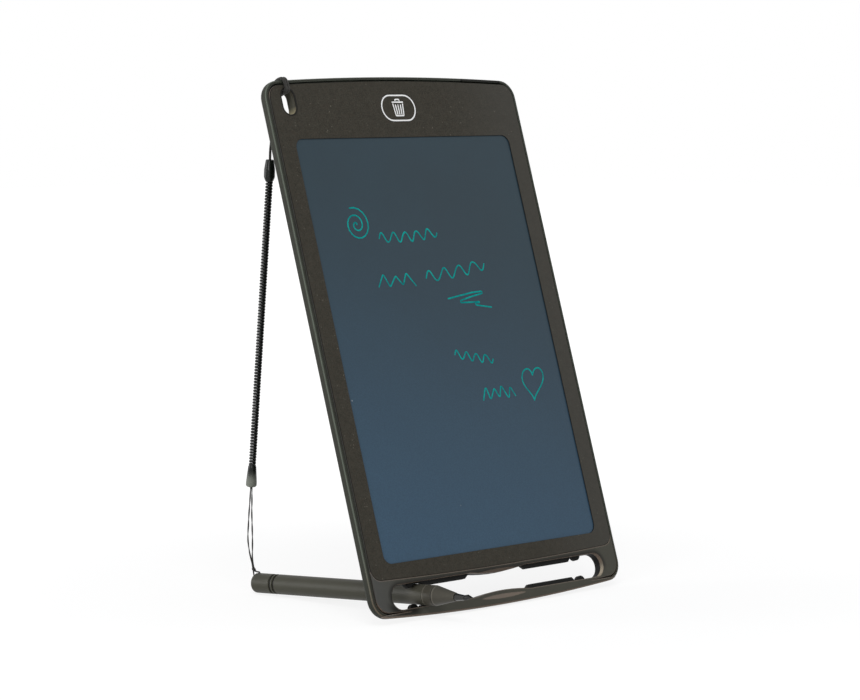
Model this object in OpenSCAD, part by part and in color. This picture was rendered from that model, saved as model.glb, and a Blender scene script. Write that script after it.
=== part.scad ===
// Liquid-crystal writing tablet, propped on its own stylus and tied to it by a coiled lanyard.
// Lengths are millimetres and angles are degrees.
// The tablet is drawn lying on its back and then leaned against the stylus.
// The stylus is drawn upright on its tail and then laid through the slot, with its tail on the table.

/* [Window and borders] */
// Width of the writing window
window_w = 125; // [110:0.5:150]
// Height of the writing window
window_h = 177.5; // [150:0.5:210]
// Corner radius of the window
window_r = 4; // [2:0.5:8]
// Border beside the window
side_border = 10.6; // [9:0.1:16]
// Border above the window
top_border = 26.7; // [26:0.1:36]
// Strip of the front sheet below the window
chin = 7.1; // [5:0.1:12]

/* [Body] */
// Corner radius of the outline
corner_r = 8; // [6:0.5:12]
// Radius of the bowed top edge
top_bow_r = 1350; // [1000:10:3000]
// Radius of the bowed bottom edge
bottom_bow_r = 1000; // [800:10:3000]
// Radius round the rear edge
rear_round = 2.5; // [1:0.1:3]
// Bevel on the front of the rim
front_bevel = 0.7; // [0.3:0.1:1]
// Thickness of the rim
rim_wall = 1.3; // [1:0.1:2]
// Depth of the rim below the front sheet
rim_drop = 0.3; // [0:0.05:0.5]
// Gap between the rim and the front panel
rim_gap = 0.75; // [0.3:0.05:0.9]
// Height at which the side rims end above the bottom edge
rim_from = 3.6; // [3:0.1:8]
// Rounding along the bottom edge of the front panel
bottom_round = 0.9; // [0.4:0.1:1.4]
// Width of the ledge that carries the front panel
ledge_w = 1.7; // [1:0.1:2.2]
// Backward lean of the standing tablet
lean = 17.4; // [14:0.2:20]

/* [Layers from the rear] */
// Floor of the rear shell
floor_t = 0.8; // [0.6:0.05:1.4]
// Room for the electronics
cavity_h = 2.35; // [2.3:0.05:3.2]
// Plate of the front panel under the film
plate_t = 0.8; // [0.6:0.05:1.2]
// Dark backing sheet
backing_t = 0.2; // [0.15:0.05:0.5]
// Liquid-crystal film
film_t = 0.4; // [0.25:0.05:0.6]
// Adhesive under the front sheet
tape_t = 0.15; // [0.1:0.05:0.3]
// Textured front sheet
overlay_t = 0.3; // [0.2:0.05:0.5]
// Film hidden behind the border on each side
film_lap = 3; // [2:0.25:3.5]
// Clearance of the film in its pocket
pocket_gap = 0.2; // [0.1:0.05:0.4]
// Gap round the front sheet
seam_gap = 0.2; // [0.1:0.05:0.3]
// Radius of the bowed lower edge of the front sheet
overlay_bow_r = 1900; // [1000:10:3000]
// Lower corner radius of the front sheet
overlay_r = 5; // [3:0.5:8]

/* [Stylus slot] */
// Height of the rail below the slot on the centre line
rail_h = 4.6; // [4:0.1:7]
// Height of the slot
slot_h = 10.2; // [10.2:0.1:12]
// Length of the slot
slot_l = 125.2; // [122:0.2:127]
// Wall between the slot and the front sheet
slot_to_overlay = 1.6; // [1.2:0.1:3]
// Start of the grip ribs from the middle
rib_from = 15.4; // [14:0.2:22]
// End of the grip ribs from the middle
rib_to = 46; // [38:0.2:46]
// Height of the ribs and nubs in the slot
rib_h = 1.8; // [1:0.1:1.9]
// Taper at the ends of the ribs
rib_taper = 2.6; // [1:0.1:4]
// Rear face of the ribs above the rear of the tablet
rib_z = 0.9; // [0.5:0.1:1.2]
// Thickness of the ribs
rib_t = 1.8; // [1:0.1:2]
// Distance of the nubs from the middle
nub_at = 49.5; // [48.8:0.1:52]
// Radius of the nubs
nub_r = 2.5; // [2:0.1:2.6]
// Swell of the slot edges at the finger scoop
swell_h = 1.3; // [0.5:0.1:1.8]
// Radius of the swell
swell_r = 100; // [60:5:160]
// Reach of the finger scoop below the slot
scoop_in = 2; // [0.5:0.1:3]
// Slope of the finger scoop
scoop_angle = 25; // [10:1:28]
// Radius of the finger scoop's slope
scoop_r = 250; // [150:5:300]
// Depth of the finger scoop
scoop_depth = 0.7; // [0.4:0.05:1]
// Radius of the finger scoop's floor
dish_r = 120; // [80:5:200]

/* [Erase key] */
// Width of the key
key_w = 20; // [16:0.2:24]
// Height of the key
key_h = 11.8; // [9:0.2:12]
// Key centre below the top edge
key_from_top = 13.9; // [13.6:0.1:14.6]
// Gap round the key
key_gap = 0.15; // [0.1:0.05:0.3]
// Hidden flange round the key
key_flange = 0.9; // [0.5:0.1:1.2]
// Thickness of the flange
flange_t = 0.5; // [0.4:0.05:0.6]
// Travel of the key
key_travel = 0.3; // [0.2:0.05:0.35]
// Air left above the switch when the key is fully pressed
press_gap = 0.02; // [0.01:0.01:0.05]
// Diameter of the stem under the key
stem_d = 4.4; // [3.6:0.1:5]
// Clearance of moving pieces in their guides
run_gap = 0.3; // [0.2:0.05:0.4]

/* [Lanyard hole] */
// Width of the hole
hole_w = 7; // [5:0.2:8]
// Height of the hole
hole_h = 11; // [10:0.2:13]
// Hole centre from the side of the tablet
hole_from_side = 11.8; // [10:0.2:14]
// Hole centre below the top edge
hole_from_top = 10.8; // [10.8:0.1:14]
// Wall round the hole
hole_wall = 1; // [0.8:0.1:1.5]

/* [Battery drawer] */
// Diameter of the coin cell
cell_d = 20; // [16:0.1:20.5]
// Thickness of the coin cell
cell_t = 1.6; // [1.2:0.05:1.6]
// Clearance round the cell
cell_gap = 0.15; // [0.1:0.05:0.3]
// Wall of the tray
tray_wall = 0.9; // [0.7:0.1:1.2]
// Floor of the tray
tray_floor = 0.45; // [0.3:0.05:0.5]
// Lid beyond the tray at each side
lid_lap = 0.35; // [0.3:0.05:0.8]
// Clearance round the lid and the tray
drawer_gap = 0.15; // [0.1:0.05:0.2]
// Lid from the side of the tablet
drawer_from_side = 8.6; // [7.5:0.1:10]
// Wall of the tray guides
guide_t = 1; // [0.8:0.1:1.2]

/* [Electronics] */
// Height of the board above the floor
board_lift = 0.4; // [0.3:0.05:0.5]
// Thickness of the board
board_t = 0.8; // [0.6:0.05:0.8]
// Left end of the board from the middle
board_left = 28; // [27:0.5:34]
// Height of the board
board_h = 14; // [13.5:0.1:14.5]
// Side of the key switch
switch_w = 6; // [5:0.1:7]
// Height of the key switch
switch_t = 0.9; // [0.8:0.05:0.95]
// Diameter of the switch plunger
plunger_d = 2.8; // [2:0.1:3.4]
// Height of the chips
chip_t = 0.9; // [0.6:0.05:0.95]
// Thickness of the contact springs
contact_t = 0.1; // [0.08:0.01:0.12]
// Width of the film tail
tail_w = 12; // [8:0.5:13]
// Thickness of the film tail
tail_t = 0.2; // [0.1:0.05:0.25]

/* [Stylus] */
// Diameter of the barrel
stylus_d = 8.4; // [7.5:0.1:8.5]
// Length from tail to tip
stylus_l = 118.2; // [115:0.1:124]
// Length of the barrel behind the slot
stylus_reach = 91.9; // [85:0.1:100]
// Distance of the stylus from the middle of the slot
stylus_at = 44.7; // [42:0.1:46]
// Sideways angle of the stylus behind the tablet
stylus_yaw = 4.8; // [0:0.2:8]
// Clearance of the stylus in its seat
seat_gap = 0.25; // [0.15:0.05:0.4]
// Radius round the tail
tail_round = 1.2; // [1:0.1:3.4]
// Length of the tail cap
cap_l = 11.2; // [9:0.1:14]
// Width of each groove near the tail
groove_w = 1.2; // [0.8:0.1:1.6]
// Depth of the grooves
groove_depth = 0.5; // [0.2:0.05:0.6]
// Pitch of the two grooves
groove_pitch = 1.95; // [1.7:0.05:2.4]
// Wall of the barrel
barrel_wall = 1; // [0.8:0.1:1.4]
// Start of the collar from the tip
collar_from_tip = 22.3; // [20:0.1:30]
// Length of the collar
collar_l = 5; // [3:0.1:7]
// Length of the nose
nose_l = 10; // [8:0.1:16]
// Diameter of the nose at its front
nose_d = 3.6; // [3:0.1:4.4]
// Diameter of the nib holder
holder_d = 3; // [2.4:0.1:3]
// Length of the bare nib
nib_l = 2.6; // [2:0.1:4]
// Diameter of the nib at its root
nib_d = 1.9; // [1.2:0.1:2]
// Radius of the nib's point
point_r = 0.45; // [0.3:0.05:0.5]
// Diameter of the thread hole in the tail
eye_d = 1.3; // [1.2:0.1:1.8]

/* [Lanyard] */
// Number of curls in the coil
coil_turns = 92; // [40:1:92]
// Outside diameter of the coil
coil_od = 2.95; // [2.5:0.05:3.5]
// Diameter of the coiled cord
coil_wire = 0.85; // [0.5:0.05:0.85]
// Diameter of the knotted loop on the tablet
loop_d = 2; // [1.4:0.1:2.2]
// Diameter of the thread above the coil
thread_d = 1.1; // [0.8:0.1:1.4]
// Diameter of the thin thread at the tail
tail_thread_d = 0.7; // [0.5:0.05:0.8]
// Wide end of the ferrules
ferrule_d = 4.6; // [4:0.1:5]
// Coil end of the ferrules
ferrule_tip_d = 3.5; // [3.1:0.1:4]

/* [Hidden] */
$fn = 48;

// Overall size
body_w = window_w + 2 * side_border;
slot_lo = rail_h;
slot_hi = rail_h + slot_h;
slot_v = rail_h + slot_h / 2;
overlay_v = slot_hi + slot_to_overlay;
window_v = overlay_v + chin;
window_top = window_v + window_h;
body_h = window_top + top_border;

// Levels through the thickness, from the rear face
z_plate = floor_t + cavity_h;
z_pocket = z_plate + plate_t;
z_film = z_pocket + backing_t;
z_border = z_film + film_t;
z_overlay = z_border + tape_t;
z_front = z_overlay + overlay_t;
body_t = z_front - rim_drop;
z_board = floor_t + board_lift;
z_parts = z_board + board_t;
z_switch = z_parts + switch_t;
z_press = z_switch + key_travel + press_gap;
z_tray = floor_t + drawer_gap;
z_cell = z_tray + tray_floor;

// Insets of the front panel and of the front sheet from the outline
panel_in = rim_wall + rim_gap;
sheet_in = panel_in + seam_gap / 2;
band_v = slot_hi + slot_to_overlay + 0.9;

// Rear rounding and front bevel as pairs of inset and height
edge_steps = [for (a = [0 : 18 : 90]) [rear_round * (1 - sin(a)), rear_round * (1 - cos(a))]];
edge_profile = concat(edge_steps, [[0, body_t - front_bevel], [front_bevel / 3, body_t - front_bevel / 3],
  [front_bevel, body_t]]);
low_z = min([for (p = edge_steps) p[0] * cos(lean) + p[1] * sin(lean)]);

// Film and its pocket
film_w = window_w + 2 * film_lap;
film_v = window_v - film_lap;
film_h = window_h + 2 * film_lap;
film_top = film_v + film_h;

// Key, hole and drawer
key_v = body_h - key_from_top;
hole_u = hole_from_side - body_w / 2;
hole_v = body_h - hole_from_top;
tray_w = cell_d + 2 * (cell_gap + tray_wall);
lid_w = tray_w + 2 * lid_lap;
drawer_u = body_w / 2 - drawer_from_side - lid_w / 2;
lid_drop = top_bow_r - sqrt(pow(top_bow_r, 2) - pow(drawer_u + lid_w / 2, 2));
cell_v = body_h - lid_drop - rim_wall - ledge_w / 2 - cell_d / 2 - cell_gap;
tray_v = cell_v - cell_d / 2 - cell_gap - tray_wall;
tray_h = cell_t * 0.75;
guide_h = tray_floor + tray_h;
board_right = drawer_u - tray_w / 2 - drawer_gap - guide_t - 1.5;
board_v = key_v - board_h / 2;
socket_v = board_v + 0.8;
post_u = [-board_left + 2, board_right - 4.5];
post_v = [board_v + 5.5, board_v + board_h - 2];
tail_u = -20;
contact_v = cell_v + 1.5;
contact_low_v = cell_v - 4;

// Place of the stylus: its axis crosses the middle of the slot and its tail lies on the table
stylus_r = stylus_d / 2;
cross_v = slot_v;
cross_z = z_front / 2;
cross_up = cross_v * cos(lean) + cross_z * sin(lean) - low_z;
cross_back = cross_v * sin(lean) - cross_z * cos(lean);
rest_l = stylus_reach - tail_round;
stylus_pitch = asin(cross_up / sqrt(pow(rest_l, 2) + pow(stylus_r, 2))) - atan2(stylus_r, rest_l);
back_cos = cos(stylus_pitch) * cos(stylus_yaw);
back_sin = sqrt(1 - pow(back_cos, 2));
far_back = cross_back + stylus_reach * back_cos + (stylus_r - tail_round) * back_sin
  + tail_round * (1 - back_cos);
far_front = cross_back - (stylus_l - stylus_reach - point_r) * back_cos - point_r;
shift_y = -(far_back + far_front) / 2;
cross_at = [-stylus_at, cross_back + shift_y, cross_up];

// Lengths along the stylus from its tail
collar_s = stylus_l - collar_from_tip;
nose_s = collar_s + collar_l;
holder_s = nose_s + nose_l;
nib_s = stylus_l - nib_l;
bore_r = stylus_r - barrel_wall;

// Routes of the lanyard: across, up and forward on the tablet, or across, up and along on the stylus
loop_route = [[-61.5, 218.7, -1.9], [-61.3, 218.4, -0.5], [-61.1, 219.1, 0.9], [-60.95, 220.2, 2.2],
  [-60.9, 220.9, 3.6], [-60.92, 221.15, 4.8], [-61.05, 221.6, 5.8], [-61.4, 222.5, 6.35], [-61.9, 223.7, 6.4],
  [-62.5, 225.1, 6.2], [-62.95, 226.3, 5.8], [-63.25, 227.2, 4.9], [-63.4, 227.55, 3.6], [-63.4, 227.45, 2.1],
  [-63.35, 226.95, 0.7], [-63.2, 226.05, -0.55], [-62.9, 224.6, -1.4], [-62.5, 222.9, -2],
  [-62.1, 221.3, -2.7], [-61.8, 219.8, -2.9]];
loop_v = body_h - 227.7;
loop_u = hole_u + 61.3;
thread_route = [[-62, 220.2, -2.4], [-61.4, 217, -5], [-60.4, 211, -9], [-59.2, 205, -13.2],
  [-58, 198.8, -17]];
top_ferrule_at = [-58, 198.7, -17.1];
coil_top_at = [-57.7, 190.2, -20.6];
low_ferrule_at = [0.4, 41, -0.9];
coil_low_at = [0, 50.4, 0.8];
tail_route = [[0.85, 40.8, -1], [0.85, 36, -1.2], [0.8, 30, -1.65], [1.1, 25, -2.1], [1.35, 19.2, -2.5],
  [1, 14, -2.5], [0.4, 10.1, -2.35], [0.38, 7, -1.9], [0.38, 5.4, -1.1], [0.3, 5, 0.4], [0.1, 4.75, 1.7],
  [0, 4, 2.1], [0, 3.05, 1.15], [0, 2.1, 0.2], [-0.1, 1.5, -0.6], [-0.35, 2.4, -1.4], [-0.38, 4.4, -1.6],
  [-0.38, 7, -1.95], [-0.4, 10.1, -2.35], [-1, 14, -2.5], [-1.35, 19.2, -2.55], [-1.1, 25, -2.1],
  [-0.8, 30, -1.7], [-0.2, 36, -1.3], [-0.05, 40.8, -0.8]];

// Places on the leaning tablet and on the laid stylus
function tablet_point(p) = [p[0], p[1] * sin(lean) - p[2] * cos(lean) + shift_y,
  p[1] * cos(lean) + p[2] * sin(lean) - low_z];
function stylus_point(p) = let (
  a = 90 - stylus_pitch,
  y = p[1] * cos(a) - (p[2] - stylus_reach) * sin(a),
  z = p[1] * sin(a) + (p[2] - stylus_reach) * cos(a))
  cross_at + [p[0] * cos(stylus_yaw) - y * sin(stylus_yaw), p[0] * sin(stylus_yaw) + y * cos(stylus_yaw), z];
function unit(v) = v / norm(v);

// Smooth curve through a route, as rings for a tube
function curve_point(a, b, c, d, t) = 0.5 * (2 * b + (c - a) * t + (2 * a - 5 * b + 4 * c - d) * t * t
  + (3 * b - a - 3 * c + d) * t * t * t);
function open_curve(p, steps) = let (n = len(p) - 1) concat([for (i = [0 : n - 1]) for (k = [0 : steps - 1])
  curve_point(p[max(i - 1, 0)], p[i], p[i + 1], p[min(i + 2, n)], k / steps)], [p[n]]);
function closed_curve(p, steps) = let (n = len(p)) [for (i = [0 : n - 1]) for (k = [0 : steps - 1])
  curve_point(p[(i + n - 1) % n], p[i], p[(i + 1) % n], p[(i + 2) % n], k / steps)];

// One tube along a list of centres; the sides are turned from the row's X axis
module tube(c, d, sides, closed = false) {
  n = len(c);
  t = [for (i = [0 : n - 1]) unit(closed ? c[(i + 1) % n] - c[(i + n - 1) % n]
    : c[min(i + 1, n - 1)] - c[max(i - 1, 0)])];
  e = [for (i = [0 : n - 1]) unit(cross(t[i], [1, 0, 0]))];
  ring_tube(c, t, e, d, sides, closed);
}

// Skin of a tube from its centres, directions and side vectors
module ring_tube(c, t, e, d, sides, closed = false) {
  n = len(c);
  pts = [for (i = [0 : n - 1]) for (k = [0 : sides - 1])
    c[i] + d / 2 * (cos(360 * k / sides) * e[i] + sin(360 * k / sides) * cross(t[i], e[i]))];
  last = closed ? n - 1 : n - 2;
  walls = [for (i = [0 : last]) for (k = [0 : sides - 1]) for (h = [0, 1])
    let (j = (i + 1) % n, m = (k + 1) % sides)
    h == 0 ? [i * sides + k, j * sides + k, j * sides + m] : [i * sides + k, j * sides + m, i * sides + m]];
  caps = closed ? [] : concat([for (k = [1 : sides - 2]) [0, k, k + 1]],
    [for (k = [1 : sides - 2]) [(n - 1) * sides, (n - 1) * sides + k + 1, (n - 1) * sides + k]]);
  polyhedron(points = pts, faces = concat(walls, caps), convexity = 10);
}

module place_tablet() {
  translate([0, shift_y, -low_z])
    rotate([90 - lean, 0, 0])
      children();
}

module place_stylus() {
  translate(cross_at)
    rotate([90 - stylus_pitch, 0, stylus_yaw])
      translate([0, 0, -stylus_reach])
        children();
}

// Panel with bowed lower and upper edges; the corner arcs meet sides and bows without a kink
module bowed_panel(w, v0, v1, bow0, bow1, r0, r1) {
  x0 = w / 2 - r0;
  x1 = w / 2 - r1;
  y0 = v0 + bow0 - sqrt(pow(bow0 - r0, 2) - x0 * x0);
  y1 = v1 - bow1 + sqrt(pow(bow1 - r1, 2) - x1 * x1);
  k0 = (bow0 + 5) / (bow0 - r0);
  k1 = (bow1 + 5) / (bow1 - r1);
  c0 = v0 + bow0;
  c1 = v1 - bow1;
  intersection() {
    translate([0, c0])
      circle(r = bow0, $fn = 360);
    polygon([[-x0, y0 + 1], [-x0, y0], [-x0 * k0, c0 + (y0 - c0) * k0], [x0 * k0, c0 + (y0 - c0) * k0],
      [x0, y0], [x0, y0 + 1]]);
  }
  intersection() {
    translate([0, c1])
      circle(r = bow1, $fn = 360);
    polygon([[-x1, y1 - 1], [x1, y1 - 1], [x1, y1], [x1 * k1, c1 + (y1 - c1) * k1],
      [-x1 * k1, c1 + (y1 - c1) * k1], [-x1, y1]]);
  }
  translate([-w / 2, y0])
    square([w, y1 - y0]);
  for (s = [-1, 1]) {
    translate([s * x0, y0])
      circle(r = r0);
    translate([s * x1, y1])
      circle(r = r1);
  }
}

module body_outline(inset) {
  bowed_panel(body_w - 2 * inset, inset, body_h - inset, bottom_bow_r - inset, top_bow_r - inset,
    corner_r - inset, corner_r - inset);
}

module overlay_outline(inset) {
  bowed_panel(body_w - 2 * (sheet_in + inset), overlay_v + inset, body_h - sheet_in - inset,
    overlay_bow_r - inset, top_bow_r - sheet_in - inset, overlay_r - inset, corner_r - sheet_in - inset);
}

module round_rect(w, h, r) {
  translate([-w / 2 + r, 0])
    square([w - 2 * r, h]);
  translate([-w / 2, r])
    square([w, h - 2 * r]);
  for (x = [-w / 2 + r, w / 2 - r])
    for (y = [r, h - r])
      translate([x, y])
        circle(r = r);
}

// Stadium lying along X
module stadium(l, h) {
  translate([-(l - h) / 2, -h / 2])
    square([l - h, h]);
  for (s = [-1, 1])
    translate([s * (l - h) / 2, 0])
      circle(d = h);
}

module window_shape(grow) {
  translate([0, window_v - grow])
    round_rect(window_w + 2 * grow, window_h + 2 * grow, window_r + grow);
}

module hole_shape(grow) {
  translate([hole_u, hole_v])
    rotate(90)
      stadium(hole_h + 2 * grow, hole_w + 2 * grow);
}

module key_shape(grow) {
  translate([0, key_v])
    stadium(key_w + 2 * grow, key_h + 2 * grow);
}

// Slot with the two swells of the finger scoop
module slot_shape() {
  difference() {
    translate([0, slot_v])
      stadium(slot_l, slot_h);
    translate([0, slot_lo + swell_h - swell_r])
      circle(r = swell_r, $fn = 360);
    translate([0, slot_hi - swell_h + swell_r])
      circle(r = swell_r, $fn = 360);
  }
}

// Room for the stylus where it stands through the slot
module stylus_seat() {
  rotate([-(90 - lean), 0, 0])
    translate([0, -shift_y, low_z])
      place_stylus()
        translate([0, 0, stylus_reach - 15])
          cylinder(d = stylus_d + 2 * seat_gap, h = 30);
}

// Points round the outline at one inset, anticlockwise from the left end of the bottom bow
function arc_points(c, r, a0, a1, n, last) = [for (i = [0 : n - 1 + last])
  c + r * [cos(a0 + (a1 - a0) * i / n), sin(a0 + (a1 - a0) * i / n)]];
function outline_points(inset) = let (
  r = corner_r - inset,
  x = body_w / 2 - corner_r,
  y0 = bottom_bow_r - sqrt(pow(bottom_bow_r - corner_r, 2) - x * x),
  y1 = body_h - top_bow_r + sqrt(pow(top_bow_r - corner_r, 2) - x * x),
  b0 = asin(x / (bottom_bow_r - corner_r)),
  b1 = asin(x / (top_bow_r - corner_r)))
  concat(
    arc_points([0, bottom_bow_r], bottom_bow_r - inset, -90 - b0, -90 + b0, 24, 0),
    arc_points([x, y0], r, -90 + b0, 0, 9, 1),
    arc_points([x, y1], r, 0, 90 - b1, 9, 0),
    arc_points([0, body_h - top_bow_r], top_bow_r - inset, 90 - b1, 90 + b1, 24, 0),
    arc_points([-x, y1], r, 90 + b1, 180, 9, 1),
    arc_points([-x, y0], r, 180, 270 - b0, 9, 0));

// Outlines lofted through a profile of insets and heights
module lofted(profile) {
  rings = [for (p = profile) outline_points(p[0])];
  n = len(rings[0]);
  m = len(rings);
  pts = concat([for (i = [0 : m - 1]) for (q = rings[i]) [q[0], q[1], profile[i][1]]],
    [[0, body_h / 2, profile[0][1]], [0, body_h / 2, profile[m - 1][1]]]);
  walls = [for (i = [0 : m - 2]) for (k = [0 : n - 1]) for (h = [0, 1])
    let (a = i * n + k, b = i * n + (k + 1) % n)
    h == 0 ? [a, a + n, b + n] : [a, b + n, b]];
  ends = [for (k = [0 : n - 1]) for (h = [0, 1])
    h == 0 ? [m * n, k, (k + 1) % n] : [m * n + 1, (m - 1) * n + (k + 1) % n, (m - 1) * n + k]];
  polyhedron(points = pts, faces = concat(walls, ends), convexity = 4);
}

// Full outside of the closed tablet, with its rounded rear edge and front bevel
module body_solid() {
  lofted(edge_profile);
}

// Lower end of the tablet, where the front panel takes the place of the rim
module lower_end(gap) {
  translate([-body_w, -5, z_plate])
    cube([2 * body_w, 5 + rim_from - gap, body_t]);
}

// Opening in the rim for the lid of the drawer
module lid_box(gap) {
  translate([drawer_u - lid_w / 2 - gap, body_h - 12, z_tray - gap])
    cube([lid_w + 2 * gap, 14, body_t]);
}

// Grip ribs and nubs on one side of the slot, drawn for the lower rail
module slot_grips() {
  polygon([[rib_from, slot_lo - 0.6], [rib_from, slot_lo], [rib_from + rib_taper, slot_lo + rib_h],
    [rib_to - rib_taper * 0.7, slot_lo + rib_h], [rib_to, slot_lo], [rib_to, slot_lo - 0.6]]);
  translate([nub_at, slot_lo + rib_h - nub_r])
    circle(r = nub_r);
}

module rear_shell() {
  color("dimgray")
    place_tablet()
      difference() {
        union() {
          difference() {
            body_solid();
            translate([0, 0, z_plate])
              linear_extrude(body_t)
                body_outline(rim_wall);
            lower_end(0);
            translate([0, 0, floor_t])
              linear_extrude(body_t)
                intersection() {
                  body_outline(rim_wall + ledge_w);
                  translate([-body_w / 2, band_v])
                    square([body_w, body_h]);
                }
            translate([0, 0, -1])
              linear_extrude(body_t + 2)
                slot_shape();
          }
          translate([0, 0, rib_z])
            linear_extrude(rib_t)
              for (s = [0, 1])
                mirror([s, 0])
                  for (m = [0, 1])
                    translate([0, m * 2 * slot_v])
                      mirror([0, m])
                        slot_grips();
          translate([0, 0, floor_t / 2])
            linear_extrude(z_plate - floor_t / 2)
              hole_shape(hole_wall);
          for (x = post_u)
            for (y = post_v)
              translate([x, y, floor_t / 2]) {
                cylinder(d = 2.8, h = board_lift + floor_t / 2);
                cylinder(d = 1.2, h = board_lift + floor_t / 2 + board_t + 0.3);
              }
          for (s = [-1, 1])
            translate([drawer_u + s * (tray_w / 2 + drawer_gap + guide_t / 2) - guide_t / 2, tray_v,
              floor_t / 2])
              cube([guide_t, body_h - lid_drop - rim_wall - tray_v, floor_t / 2 + drawer_gap + guide_h]);
        }
        translate([0, 0, -1])
          linear_extrude(body_t + 2)
            hole_shape(0);
        lid_box(drawer_gap);
        translate([drawer_u - tray_w / 2 - drawer_gap - guide_t - 1, contact_v - 2.4, z_tray])
          cube([guide_t + 1.2, 4.8, z_plate]);
        stylus_seat();
      }
}

// Sloping cut of a finger scoop that starts below the slot's lower edge
module scoop_slope(start) {
  translate([0, slot_lo - start, z_front])
    rotate([-(90 + scoop_angle), 0, 0])
      translate([0, -scoop_r, -5])
        cylinder(r = scoop_r, h = 5 + (start + slot_h / 2) / cos(scoop_angle), $fn = 360);
}

module front_frame() {
  color("gray")
    place_tablet()
      difference() {
        union() {
          translate([0, 0, z_plate])
            linear_extrude(z_front - z_plate)
              polygon(outline_points(panel_in));
          intersection() {
            lofted([[0, z_plate], [0, z_front - bottom_round],
              [bottom_round * 0.08, z_front - bottom_round * 0.6],
              [bottom_round * 0.3, z_front - bottom_round * 0.29],
              [bottom_round * 0.6, z_front - bottom_round * 0.08], [bottom_round, z_front]]);
            lower_end(seam_gap * 0.75);
          }
        }
        translate([0, 0, z_border])
          linear_extrude(body_t)
            overlay_outline(-seam_gap);
        translate([0, film_v - pocket_gap, z_pocket])
          linear_extrude(body_t)
            round_rect(film_w + 2 * pocket_gap, film_h + 2 * pocket_gap, window_r);
        translate([0, 0, z_plate - 1])
          linear_extrude(body_t)
            slot_shape();
        translate([0, 0, z_plate - 1])
          linear_extrude(body_t)
            hole_shape(0);
        translate([0, 0, z_border - flange_t - key_travel - 0.15])
          linear_extrude(body_t)
            key_shape(key_flange + run_gap);
        translate([0, key_v, z_plate - 1])
          cylinder(d = stem_d + 2 * run_gap, h = body_t);
        translate([tail_u - tail_w / 2 - run_gap, film_top - 1, z_plate - 1])
          cube([tail_w + 2 * run_gap, 3, body_t]);
        intersection() {
          scoop_slope(scoop_in);
          translate([0, 0, z_front - scoop_depth + dish_r])
            rotate([-90, 0, 0])
              cylinder(r = dish_r, h = slot_v, $fn = 360);
        }
        translate([0, 2 * slot_v, 0])
          mirror([0, 1])
            scoop_slope(0.2);
        stylus_seat();
      }
}

module front_overlay() {
  color("darkslategray")
    place_tablet()
      translate([0, 0, z_overlay])
        linear_extrude(overlay_t)
          difference() {
            overlay_outline(0);
            window_shape(0);
            hole_shape(0);
            key_shape(key_gap);
          }
}

module overlay_tape() {
  color("khaki")
    place_tablet()
      translate([0, 0, z_border])
        linear_extrude(tape_t)
          difference() {
            overlay_outline(0.6);
            window_shape(1);
            hole_shape(0.6);
            key_shape(key_flange + 0.6);
          }
}

module writing_film() {
  color("steelblue")
    place_tablet()
      translate([0, film_v, z_film])
        linear_extrude(film_t)
          round_rect(film_w, film_h, window_r - pocket_gap);
}

module film_backing() {
  color("black")
    place_tablet()
      translate([0, film_v, z_pocket])
        linear_extrude(backing_t)
          round_rect(film_w, film_h, window_r - pocket_gap);
}

// Printed tail that runs from the edge of the film down through the panel to its socket
module film_tail() {
  top = z_film + film_t / 2 + tail_t / 2;
  low = z_parts + chip_t / 2;
  turn = film_top + 1.2;
  color("goldenrod")
    place_tablet()
      translate([tail_u - tail_w / 2, 0, 0])
        rotate([90, 0, 90])
          linear_extrude(tail_w)
            polygon([[film_top, top - tail_t], [turn - tail_t, top - tail_t], [turn - tail_t, low],
              [socket_v, low], [socket_v, low + tail_t], [turn, low + tail_t], [turn, top], [film_top, top]]);
}

module circuit_board() {
  color("darkgreen")
    place_tablet()
      translate([0, 0, z_board])
        linear_extrude(board_t)
          difference() {
            translate([-board_left, board_v])
              square([board_left + board_right, board_h]);
            for (x = post_u)
              for (y = post_v)
                translate([x, y])
                  circle(d = 1.5);
          }
}

module on_board(u, v, w, h, t) {
  place_tablet()
    translate([u - w / 2, v - h / 2, z_parts])
      cube([w, h, t]);
}

module tail_socket() {
  color("ivory")
    on_board(tail_u, socket_v + 1.6, tail_w + 1.6, 3.2, chip_t);
}

module driver_chip() {
  color("black")
    on_board(-12, key_v + 0.5, 5, 4, chip_t);
}

module boost_coil() {
  color("silver")
    on_board(12, key_v + 1, 4, 4, chip_t);
}

module chip_capacitors() {
  color("tan") {
    on_board(20, key_v + 3.5, 3.2, 1.6, chip_t);
    on_board(20, key_v + 0.5, 3.2, 1.6, chip_t);
    on_board(20, key_v - 2.5, 3.2, 1.6, chip_t);
  }
}

module switch_body() {
  color("gainsboro")
    place_tablet()
      translate([0, key_v, z_parts])
        difference() {
          translate([-switch_w / 2, -switch_w / 2, 0])
            cube([switch_w, switch_w, switch_t]);
          translate([0, 0, switch_t - key_travel - 0.35])
            cylinder(d = plunger_d + 2 * run_gap, h = switch_t);
        }
}

module switch_plunger() {
  color("black")
    place_tablet()
      translate([0, key_v, z_switch - 0.3])
        cylinder(d = plunger_d, h = 0.3 + key_travel);
}

module erase_button() {
  color("slategray")
    place_tablet() {
      translate([0, 0, z_border - flange_t])
        linear_extrude(z_front - z_border + flange_t)
          key_shape(0);
      translate([0, 0, z_border - flange_t])
        linear_extrude(flange_t)
          key_shape(key_flange);
      translate([0, key_v, z_press])
        cylinder(d = stem_d, h = z_border - z_press);
    }
}

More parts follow.
